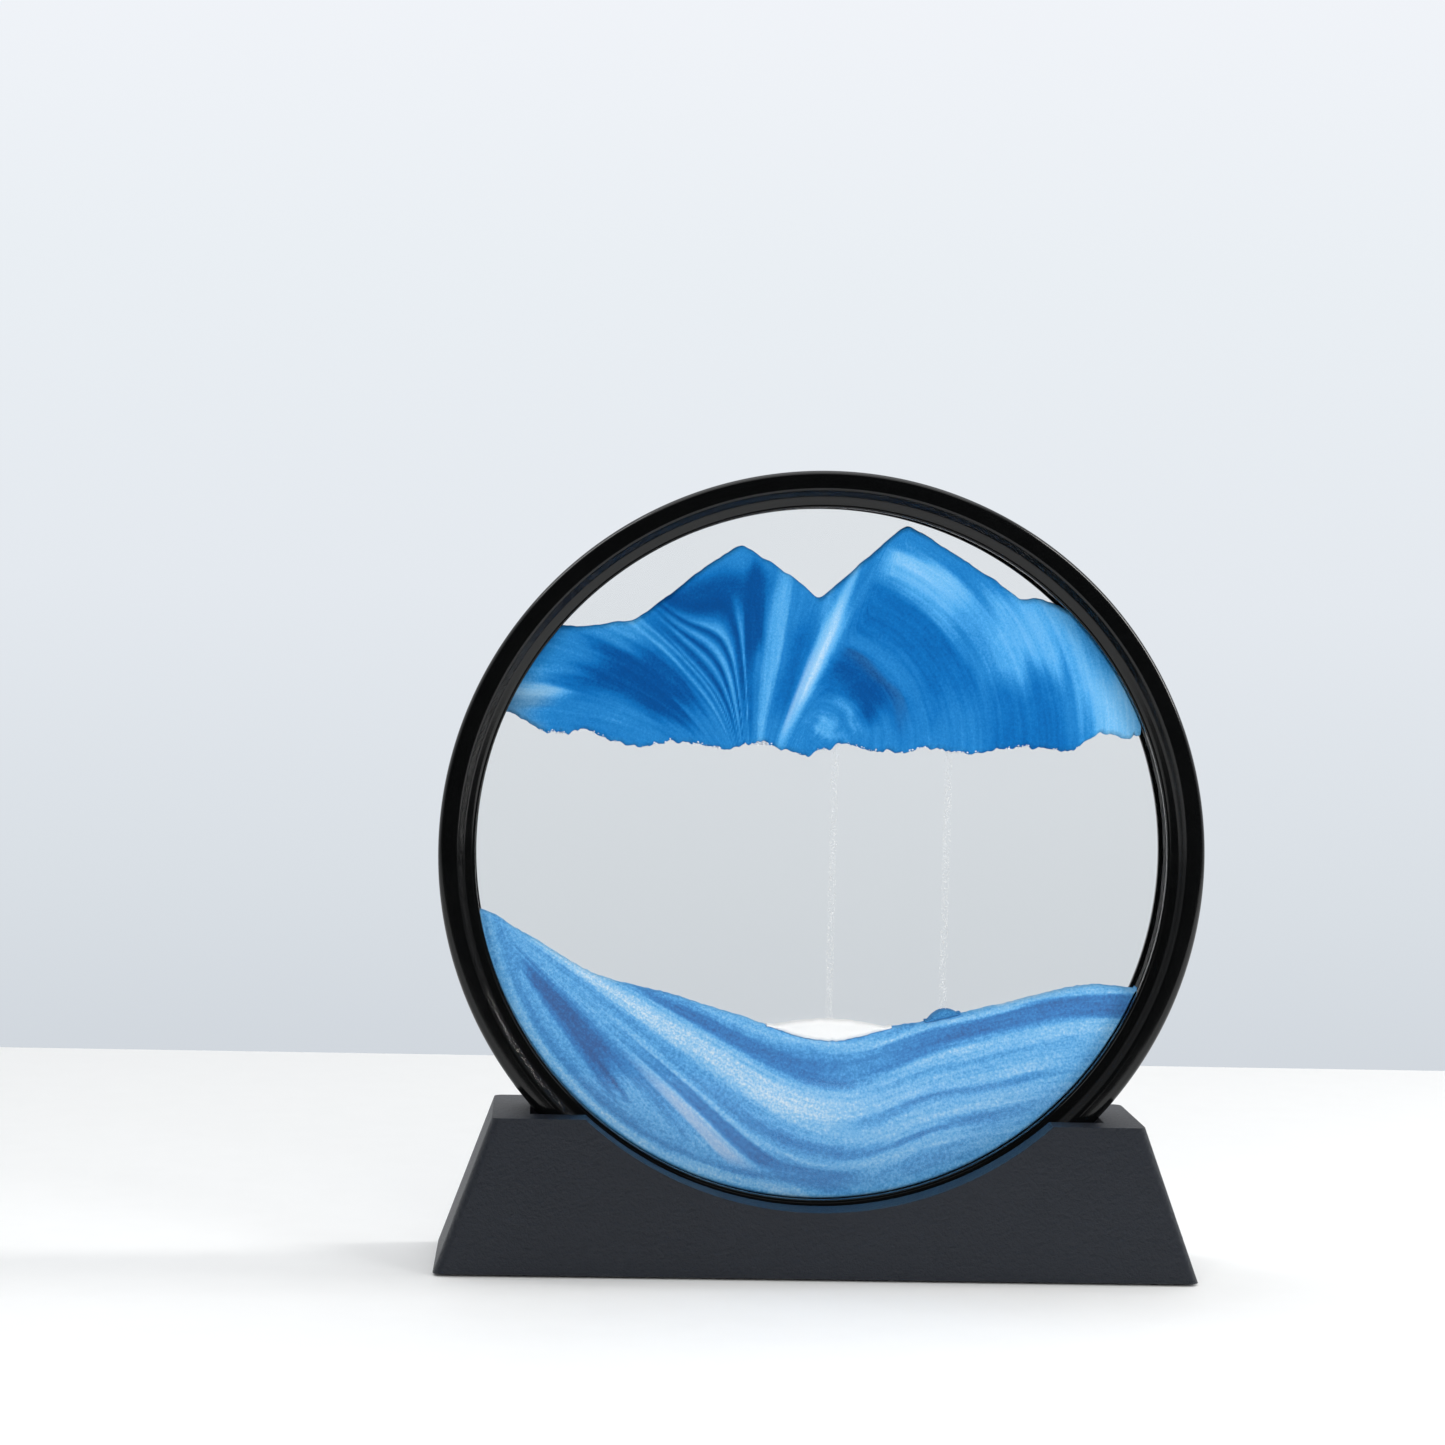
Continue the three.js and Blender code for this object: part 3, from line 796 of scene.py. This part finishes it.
# The held sand slid apart: on the left as a fan whose lines lean over as they rise, on the right
# in arcs. The seam between the two leans to the right.
FAN_FOOT = (-17.0, 8.0)
FAN_LEAN = 0.49
FAN_LEAN_FADE = 24
FAN_LOWEST = 18.0
FAN_TURN_LENGTH = 0.63
ARC_CENTRE = (-2.0, 26.0)
SEAM_FOOT_X = -11.0
SEAM_LEAN = 0.5
SEAM_WIDTH = 6.0

# Bands, the lowest first: layer, shade, middle, half width, start, end.
# In the fan the middle is in degrees from upright, and the start and end in mm from its foot.
FAN_BANDS = (
    ("tone", SKY, -46, 10, 50, 82),
    ("ash", 0.75, -47, 6, 52, 78),
    ("tone", PALE, -41, 1.2, 50, 74),
    ("tone", DEEP, -28, 9, 22, 58),
    ("tone", BLUE, -44, 5, 28, 48),
    ("tone", SKY, -18, 4, 42, 74),
    ("tone", PALE, -14, 1.1, 36, 68),
    ("tone", DEEP, -8, 5.5, 14, 60),
    ("tone", DEEP, -2, 4.5, 34, 64),
    ("tone", BLUE, -4, 7, 58, 72),
    ("tone", LIGHT, 6.5, 2.6, 8, 66),
    ("tone", BLUE, 11, 1.6, 14, 58),
    ("tone", DUSK, 15, 3.4, 22, 52),
    ("tone", PALE, 21.5, 2.6, 8, 68),
    ("tone", CREAM, 22, 0.8, 26, 56),
    ("blush", 0.2, 19.5, 0.8, 20, 46),
)
# Thin pale threads of the fan: the first, the last, and how far apart, in degrees.
FAN_THREADS = np.arange(-15.5, -1.0, 2.1)

# In the arcs the middle is in mm from their centre, and the start and end in degrees.
ARC_BANDS = (
    ("tone", DUSK, 33, 8, -10, 84),
    ("tone", BLUE, 25, 2.4, 0, 80),
    ("tone", DUSK, 21.5, 1.2, 0, 95),
    ("ash", 0.3, 21.5, 0.8, 5, 85),
    ("tone", DEEP, 15, 5, -20, 80),
    ("tone", BLUE, 7, 5, -30, 105),
    ("tone", LIGHT, 4.5, 1.6, -30, 105),
    ("tone", SKY, 11, 0.9, 10, 85),
    ("tone", LIGHT, 45, 3.6, -2, 62),
    ("tone", PALE, 47, 2.6, 2, 50),
    ("tone", BLUE, 51.5, 1.8, 0, 60),
    ("tone", LIGHT, 56, 10, 44, 92),
    ("tone", LIGHT, 59, 6, 48, 84),
    ("tone", DUSK, 50, 8, 66, 104),
    ("tone", PALE, 72, 6, 70, 104),
)

# In the fallen sand the middle is in mm under the crest, and the start and end are places along x.
BED_BANDS = (
    ("tone", BLUE, 3.4, 3.6, 0, 95),
    ("tone", DUSK, 4.0, 1.7, 10, 90),
    ("tone", DUSK, 6.5, 2.4, -50, 20),
    ("tone", PALE, 0.6, 0.7, -34, 95),
    ("tone", PALE, 9.4, 1.6, 8, 90),
    ("tone", LIGHT, 12.4, 1.0, 14, 85),
    ("tone", SKY, 11.3, 0.6, 0, 70),
    ("tone", PALE, 15, 4.2, -86, 30),
    ("tone", CREAM, 15, 2.4, -84, 14),
    ("tone", PALE, 15.4, 1.4, 6, 70),
    ("tone", BLUE, 18.2, 1.1, 0, 62),
    ("tone", PALE, 21, 1.8, -6, 60),
    ("tone", SKY, 22.5, 2.0, -74, 8),
    ("tone", BLUE, 25, 1.3, -40, 56),
    ("tone", PALE, 27.4, 1.2, -60, 44),
    ("tone", DUSK, 31, 2.0, -54, 20),
    ("tone", SKY, 31, 1.6, 8, 40),
    ("tone", PALE, 35, 1.8, -52, 30),
    ("blush", 0.5, 35.5, 1.0, -44, 16),
    ("tone", BLUE, 39, 2.4, -76, -24),
    ("tone", DEEP, 46, 5, -74, -42),
)
# Where the layers fan out from, the first one's degrees below level, degrees to a millimetre,
# and where along x the fan gives way to the crest's own lines.
FAN_ORIGIN = (-82.0, -12.0)
FAN_FIRST_LINE = 23
FAN_LINE_STEP = 0.57
FAN_FADE_START = -30
FAN_FADE = 60
BED_SHADE = 0.64

# Against the rim the middle is in mm from it.
RIM_BANDS = (
    ("tone", SKY, 3.5, 3.5, -84, 30),
    ("tone", BLUE, 4.0, 0.6, -80, 20),
    ("tone", PALE, 1.6, 0.9, -84, 24),
)
RIM_LAYER = 8.0
RIM_FADE = 4
RIM_END = 14
RIM_END_FADE = 30
RIM_FLOW = 45
RIM_SHADE = 0.6
FLOW_START = 100


def banded(layers, across, along, bands, streak, seed):
    """Lays the bands one over another, with edges that wander and are drawn out along the flow.
    A streak is how far apart those lines lie, in the measure of across."""
    wander = streak * (1.0 * ripple(along / 20, across / (7 * streak), seed)
                       + 0.6 * ripple(across / (1.6 * streak), along / 24, seed + 1)
                       + 0.3 * ripple(across / (0.6 * streak), along / 12, seed + 2))
    place = across + wander
    for layer, value, middle, half_width, start, end in bands:
        soft = 0.8 * half_width + 0.5 * streak
        fade = 0.3 * (end - start)
        run = along + 0.4 * fade * ripple(across / (2 * streak), along / 30, seed + 3)
        share = eased((half_width + soft - abs(place - middle)) / (1.5 * soft))
        share = 0.9 * share * eased((run - start) / fade) * eased((end - run) / fade)
        layers[layer] = layers[layer] * (1 - share) + value * share
    return layers


def unpainted(x, shade):
    return {"tone": np.full(x.shape, shade), "blush": np.zeros(x.shape), "ash": np.zeros(x.shape)}


def round_from(x, z, centre):
    """Degrees from upright about a centre, and mm out from it."""
    out_x, out_z = x - centre[0], z - centre[1]
    return np.degrees(np.arctan2(out_x, out_z)), np.hypot(out_x, out_z)


def blended(first, second, share):
    return {name: first[name] * (1 - share) + second[name] * share for name in first}


def paint_upper(x, z):
    """Shades of the held sand, and the flow that its streaks follow."""
    fan_turn, fan_reach = round_from(x, z, FAN_FOOT)
    leaning = eased(-fan_turn / FAN_LEAN_FADE)
    fan_turn = fan_turn + FAN_LEAN * (fan_reach - FAN_LOWEST) * leaning
    arc_turn, arc_reach = round_from(x, z, ARC_CENTRE)
    threads = tuple(("tone", LIGHT, turn, 0.3, 14, 58) for turn in FAN_THREADS)
    fan = banded(unpainted(x, BLUE), fan_turn, fan_reach, FAN_BANDS + threads, 1.0, 5)
    arcs = banded(unpainted(x, BLUE), arc_reach, arc_turn, ARC_BANDS, 1.4, 15)
    seam = SEAM_FOOT_X + SEAM_LEAN * (z - ARC_CENTRE[1])
    share = eased((x - seam) / SEAM_WIDTH)
    layers = blended(fan, arcs, share)
    layers["across"] = fan_turn * FAN_TURN_LENGTH * (1 - share) + (arc_reach - 3) * share
    layers["along"] = fan_reach * (1 - share) + (arc_turn * 0.5 + 30) * share
    return layers


def paint_lower(x, z):
    """Shades of the fallen sand. Its layers spread out from the upper left, on the right they
    follow the crest, and the last of them lie along the rim."""
    turn = np.degrees(np.arctan2(FAN_ORIGIN[1] - z, x - FAN_ORIGIN[0]))
    share = eased((x - FAN_FADE_START) / FAN_FADE)
    across = (turn - FAN_FIRST_LINE) / FAN_LINE_STEP * (1 - share) + (soft_bed_crest(x) - z) * share
    bed = banded(unpainted(x, BED_SHADE), across, x, BED_BANDS, 1.1, 9)
    in_rim = CELL_RADIUS - np.hypot(x, z)
    rim = banded(unpainted(x, RIM_SHADE), in_rim, x, RIM_BANDS, 0.5, 27)
    near_rim = eased((RIM_LAYER - in_rim) / RIM_FADE) * eased((RIM_END - x) / RIM_END_FADE)
    layers = blended(bed, rim, near_rim)
    layers["across"] = across * (1 - near_rim) + (RIM_FLOW - in_rim) * near_rim
    layers["along"] = x + FLOW_START
    return layers


def plain(x, z):
    return {"tone": np.full(x.shape, 0.5)}


# The sand's faces: how deep the edge is tucked in, over what height, and how deep the relief is.
TUCK = 0.55
TUCK_HEIGHT = 0.9
RELIEF = 0.35
# Set in the rear face's flow, so that its streaks differ.
REAR_FLOW = 40.0


def drift(name, finish, left, right, foot_line, crest_line, paint, counts, rise, sag, swap_rear=True):
    """A closed mass of sand between the panes, in columns from left to right.
    Its two faces are painted, and the rear one shows the same layers the other way round."""
    columns, rows, rear_rows, rounds = counts
    turn = np.linspace(math.asin(left / CELL_RADIUS), math.asin(right / CELL_RADIUS), columns)
    x = CELL_RADIUS * np.sin(turn)
    foot, crest = foot_line(x), crest_line(x)
    height = crest - foot
    share = np.linspace(0, 1, rows)
    face_x = np.repeat(x[:, None], rows, 1)
    face_z = foot[:, None] + height[:, None] * share[None, :]
    layers = paint(face_x, face_z)
    edge = np.minimum(share, 1 - share)[None, :] * height[:, None]
    tuck = TUCK * np.clip(1 - edge / TUCK_HEIGHT, 0, 1) ** 2
    relief = RELIEF * (1 - np.clip(layers["tone"], 0, 1)) * np.clip(edge / 2, 0, 1)
    front_y = -SAND_DEPTH + tuck + relief
    parts = [(face_x, front_y, face_z)]
    names = sorted(layers)
    values = {key: [layers[key]] for key in names}
    swing = np.linspace(0, math.pi, rounds + 2)[1:-1]
    pick = np.linspace(0, rows - 1, rear_rows).round().astype(int)[::-1]

    def rear(array):
        return array[::-1][:, pick] if swap_rear else array[:, pick]

    half = front_y[:, -1:]
    across = np.cos(swing)[None, :]
    parts.append((np.repeat(x[:, None], rounds, 1), half * across,
                  crest[:, None] + rise * np.sin(swing)[None, :]))
    parts.append((face_x[:, pick], SAND_DEPTH - tuck[:, pick] - rear(relief), face_z[:, pick]))
    low = front_y[:, :1]
    parts.append((np.repeat(x[:, None], rounds, 1), -low * across,
                  foot[:, None] - sag * np.sin(swing)[None, :]))
    for key in names:
        front, back = layers[key], rear(layers[key])
        mix = np.linspace(0, 1, rounds)[None, :]
        values[key] += [front[:, -1:] * (1 - mix) + back[:, :1] * mix, back,
                        back[:, -1:] * (1 - mix) + front[:, :1] * mix]
    points = np.concatenate([np.stack(part, -1) for part in parts], 1)
    around = points.shape[1]
    points = points.reshape(-1, 3) + np.array([0, 0, DISC_Z])
    index = np.arange(columns * around).reshape(columns, around)
    after = np.roll(index, -1, 1)
    quads = np.stack([index[:-1], index[1:], after[1:], after[:-1]], -1).reshape(-1, 4)
    mesh = bpy.data.meshes.new(name)
    caps = [index[0].tolist(), index[-1][::-1].tolist()]
    mesh.from_pydata((points * MM).tolist(), [], quads.tolist() + caps)
    mesh.materials.append(finish)
    for key in ("tone", "blush", "ash"):
        if key in values:
            data = np.concatenate(values[key], 1).ravel().astype(np.float32)
            mesh.attributes.new(key, "FLOAT", "POINT").data.foreach_set("value", data)
    if "across" in values:
        flow = np.stack([np.concatenate(values["across"], 1).ravel(),
                         np.concatenate(values["along"], 1).ravel(),
                         np.where(points[:, 1] > 0, REAR_FLOW, 0.0)], -1)
        layer = mesh.attributes.new("flow", "FLOAT_VECTOR", "POINT")
        layer.data.foreach_set("vector", flow.ravel().astype(np.float32))
    return smooth(placed(name, mesh))


FACE_COUNTS = (520, 104, 56, 7)
upper_sand = drift("held_sand", upper_finish, -74.4, 74.2, upper_foot, upper_crest, paint_upper,
                   FACE_COUNTS, 0.5, 0.5)
lower_sand = drift("fallen_sand", lower_finish, -79.2, 75.0, lambda x: -cell_wall(x), lower_crest,
                   paint_lower, FACE_COUNTS, 0.6, 0.0)

# ----- heaps under the threads


def heap(name, node, finish, seed):
    """A low domed heap on the fallen sand, over the place that its node holds."""
    low, high = mound_boxes[node]
    middle = (low.x + high.x) / 2
    reach = (high.x - low.x) / 2
    left, right = lower_crest(np.array([low.x, high.x]))
    rise = high.z - DISC_Z - (left + right) / 2

    def ground(x):
        return lower_crest(x) + 0.5

    def top(x):
        along = (x - middle) / reach
        level = (left + right) / 2 + (right - left) / 2 * along
        dome = level + rise * (1 - along ** 2) ** 1.3 + 0.08 * ripple(x / 0.9, x * 0, seed)
        return np.maximum(dome, ground(x) + 0.3)

    return drift(name, finish, low.x + 0.3, high.x - 0.3, ground, top, plain,
                 (160, 24, 24, 9), 0.2, 0.0, False)


white_heap = heap("white_heap", MOUNDS[0], white_finish, 31)
blue_heap = heap("blue_heap", MOUNDS[1], blue_finish, 32)

# ----- falling threads and froth


def grain_tree():
    """Strews small grains along the given lines, each turned and sized at random."""
    tree = geometry_tree("strewn_grains", (
        ("Line", "Geometry"), ("Count", "Int"), ("Grain radius", "Float"),
        ("Spread across", "Float"), ("Spread deep", "Float"), ("Spread up", "Float"),
        ("Seed", "Int"), ("Finish", "Material")), "Grains")
    b = Bench(tree)
    ask = b.asked()
    curve = b.node("GeometryNodeMeshToCurve", None, {0: ask["Line"]})
    points = b.node("GeometryNodeCurveToPoints", {"mode": "COUNT"},
                    {"Curve": curve, "Count": ask["Count"]})
    spread = b.node("ShaderNodeCombineXYZ", None,
                    {"X": ask["Spread across"], "Y": ask["Spread deep"], "Z": ask["Spread up"]})
    jump = b.node("FunctionNodeRandomValue", {"data_type": "FLOAT_VECTOR"},
                  {0: (-1, -1, -1), 1: (1, 1, 1), "Seed": ask["Seed"]})
    shift = b.node("ShaderNodeVectorMath", {"operation": "MULTIPLY"}, {0: spread, 1: jump})
    moved = b.node("GeometryNodeSetPosition", None, {"Geometry": points, "Offset": shift})
    grain = b.node("GeometryNodeMeshIcoSphere", None,
                   {"Radius": ask["Grain radius"], "Subdivisions": 1})
    turn = b.node("FunctionNodeRandomValue", {"data_type": "FLOAT_VECTOR"},
                  {0: (0, 0, 0), 1: (6.28, 6.28, 6.28), "Seed": ask["Seed"] + 1})
    size = b.node("FunctionNodeRandomValue", {"data_type": "FLOAT"},
                  {2: 0.5, 3: 1.3, "Seed": ask["Seed"] + 2}, out=1)
    strewn = b.node("GeometryNodeInstanceOnPoints", None,
                    {"Points": moved, "Instance": grain, "Rotation": turn, "Scale": size})
    b.deliver(b.node("GeometryNodeRealizeInstances", None, {0: strewn}), ask["Finish"])
    return tree


strew = grain_tree()


def strewn_line(name, lines, count, radius, spread, seed, finish):
    """Grains strewn along one or more open lines of (x, z) places."""
    points, edges = [], []
    for line in lines:
        first = len(points)
        points += [(x, 0.0, z + DISC_Z) for x, z in line]
        edges += [(first + i, first + i + 1) for i in range(len(line) - 1)]
    piece = piece_from(name, points, [])
    piece.data.edges.add(len(edges))
    for edge, ends in zip(piece.data.edges, edges):
        edge.vertices = ends
    grown(piece, strew, {
        "Count": count, "Grain radius": radius * MM, "Spread across": spread[0] * MM,
        "Spread deep": spread[1] * MM, "Spread up": spread[2] * MM, "Seed": seed, "Finish": finish,
    })
    return smooth(piece, 20)


# The froth lies in short runs: how far out they go, how far apart they start, how long they are.
FROTH_REACH = 66
FROTH_STEP = 12
FROTH_RUN = 6


def thread_line(node):
    """From the underside of the held sand straight down to a heap's top."""
    low, high = mound_boxes[node]
    x = (low.x + high.x) / 2
    return (x, upper_foot(np.array([x]))[0]), (x, high.z - DISC_Z)


def froth_line(x):
    """One short run of froth just under the held sand."""
    ends = np.array([x, x + FROTH_RUN], float)
    return tuple(zip(ends, upper_foot(ends) - 0.2))


thread_lines = [thread_line(node) for node in MOUNDS]
threads = strewn_line("falling_threads", thread_lines, count=900, radius=0.11,
                      spread=(0.9, 0.7, 0.4), seed=41, finish=thread_finish)
froth_lines = [froth_line(x) for x in range(-FROTH_REACH, FROTH_REACH, FROTH_STEP)]
froth = strewn_line("air_froth", froth_lines, count=150, radius=0.2,
                    spread=(0.5, 2.2, 0.35), seed=47, finish=froth_finish)

# ----- carried-over nodes

CARRIED = {
    "base_bottom_cover": cover_finish,
    "spacer_ring": spacer_finish,
    "front_glass": pane_finish,
    "rear_glass": pane_finish,
    "front_sealant": glue_finish,
    "rear_sealant": glue_finish,
    "filler_septum": stopper_finish,
    "clear_fill_above": fluid_finish,
    "clear_fill_between": fluid_finish,
}
for node, finish in CARRIED.items():
    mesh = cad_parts[node].data
    mesh.materials.clear()
    mesh.materials.append(finish)

# ----- who moves with what

PIECES = (
    (base, "stand", "base", ["base_shell"]),
    (feet, "stand", "foot", FOOT_NODES),
    (front_ring, "disc", "frame", ["front_frame_ring"]),
    (rear_ring, "disc", "frame", ["rear_frame_ring"]),
    (upper_sand, "disc", "blue_sand", ["upper_sand"]),
    (lower_sand, "disc", "blue_sand", ["lower_sand"]),
    (white_heap, "disc", "white_sand", ["white_sand_mound"]),
    (blue_heap, "disc", "dark_sand", ["blue_sand_mound"]),
    (threads, "disc", "white_sand", []),
    (froth, "disc", "white_sand", []),
    (cap, "cap", "stopper", ["filler_cap"]),
)
for piece, body, slot, nodes in PIECES:
    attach(piece, body)
    if nodes:
        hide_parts(*nodes)

# ----- table, light and camera

TABLE_HALF_LENGTH = 1000.0
TABLE_FAR = 360.0
TABLE_JOIN = -320.0
TABLE_NEAR = -1000.0
TABLE_EDGE = ((-12, 0), (-1.0, 0), (-0.3, 0.3), (0, 1.0))


def table_leaf(name, near, far, mirrored):
    """One leaf of the table, with eased upper edges."""
    points = []
    for z, inset in TABLE_EDGE:
        side = TABLE_HALF_LENGTH - inset
        points += [(-side, near, z), (side, near, z), (side, far - inset, z), (-side, far - inset, z)]
    faces = [(3, 2, 1, 0), (12, 13, 14, 15)]
    for level in range(3):
        for i in range(4):
            low, after = level * 4 + i, level * 4 + (i + 1) % 4
            faces.append((low, after, after + 4, low + 4))
    leaf = piece_from(name, points, faces, table_finish)
    leaf.visible_glossy = mirrored
    return leaf


table_leaf("table", TABLE_JOIN, TABLE_FAR, True)
table_leaf("near_table", TABLE_NEAR, TABLE_JOIN, False)


def softbox(name, place, aim, size, watts, colour=(1, 1, 1), mirrored=True):
    """A square light panel that the camera doesn't see."""
    data = bpy.data.lights.new(name, "AREA")
    data.shape = "RECTANGLE"
    data.size, data.size_y = size
    data.energy = watts
    data.color = colour
    light = placed(name, data)
    light.location = place
    light.rotation_euler = (Vector(aim) - Vector(place)).to_track_quat("-Z", "Y").to_euler()
    light.visible_camera = False
    light.visible_glossy = mirrored
    return light


disc_middle = (0, 0, DISC_Z * MM)
softbox("key_light", (1.05, 0.12, 0.85), disc_middle, (0.2, 0.8), 6, (1.0, 0.985, 0.96))
softbox("left_light", (-0.75, 0.25, 1.05), disc_middle, (0.2, 0.5), 2)
softbox("overhead_light", (0.0, 0.15, 1.5), (0, 0, 0), (1.5, 1.2), 5.5)
softbox("front_fill", (-0.15, -1.5, 0.75), disc_middle, (1.6, 1.2), 17.5, mirrored=False)
softbox("side_fill", (0.52, -0.5, 0.3), disc_middle, (0.3, 0.3), 2.3, mirrored=False)


WALL_RAMP = (
    (0.00, srgb(208, 214, 221)),
    (0.18, srgb(217, 223, 229)),
    (0.45, srgb(228, 233, 239)),
    (0.75, srgb(234, 239, 244)),
    (1.00, srgb(241, 244, 249)),
)


def room():
    """Pale backdrop for the camera, and a room that is dark on the near side for mirrors."""
    world = bpy.data.worlds.new("room")
    bpy.context.scene.world = world
    world.use_nodes = True
    world.node_tree.nodes.clear()
    b = Bench(world.node_tree)
    place = b.node("ShaderNodeTexCoord")
    split = world.node_tree.nodes.new("ShaderNodeSeparateXYZ")
    world.node_tree.links.new(place.socket, split.inputs[0])
    depth, height = Value(b.tree, split.outputs[1]), Value(b.tree, split.outputs[2])
    rise = ((height + 0.14) * 3.2).clipped()
    wall = b.node("ShaderNodeValToRGB", {"stops": WALL_RAMP}, {0: rise})
    shade = ((depth + 0.35) * 1.6).clipped()
    lit = b.mixed(shade, (0.02, 0.02, 0.022), (0.75, 0.77, 0.80))
    seen = b.node("ShaderNodeLightPath")
    colour = b.mixed(seen, lit, wall)
    glow = b.node("ShaderNodeBackground", None, {"Color": colour, "Strength": 1.0})
    output = world.node_tree.nodes.new("ShaderNodeOutputWorld")
    world.node_tree.links.new(glow.socket, output.inputs["Surface"])


room()

CAMERA_PLACE = Vector((-0.0629, -0.8151, 0.1567))
CAMERA_YAW = math.radians(2.755)
CAMERA_DIP = math.radians(2.102)
CAMERA_ROLL = math.radians(1.309)
CAMERA_LENS = 87.2
CAMERA_SENSOR = 36.0
ahead = Vector((math.sin(CAMERA_YAW) * math.cos(CAMERA_DIP),
                math.cos(CAMERA_YAW) * math.cos(CAMERA_DIP), -math.sin(CAMERA_DIP)))
level = Vector((math.cos(CAMERA_YAW), -math.sin(CAMERA_YAW), 0))
upward = level.cross(ahead)
right = math.cos(CAMERA_ROLL) * level + math.sin(CAMERA_ROLL) * upward
top = -math.sin(CAMERA_ROLL) * level + math.cos(CAMERA_ROLL) * upward
lens = bpy.data.cameras.new("camera")
lens.sensor_width = CAMERA_SENSOR
lens.lens = CAMERA_LENS
camera = placed("camera", lens)
facing = Matrix((right, top, -ahead)).transposed().to_4x4()
camera.matrix_world = Matrix.Translation(CAMERA_PLACE) @ facing
bpy.context.scene.camera = camera
bpy.context.scene.view_settings.view_transform = "Standard"
bpy.context.scene.cycles.transparent_max_bounces = 24
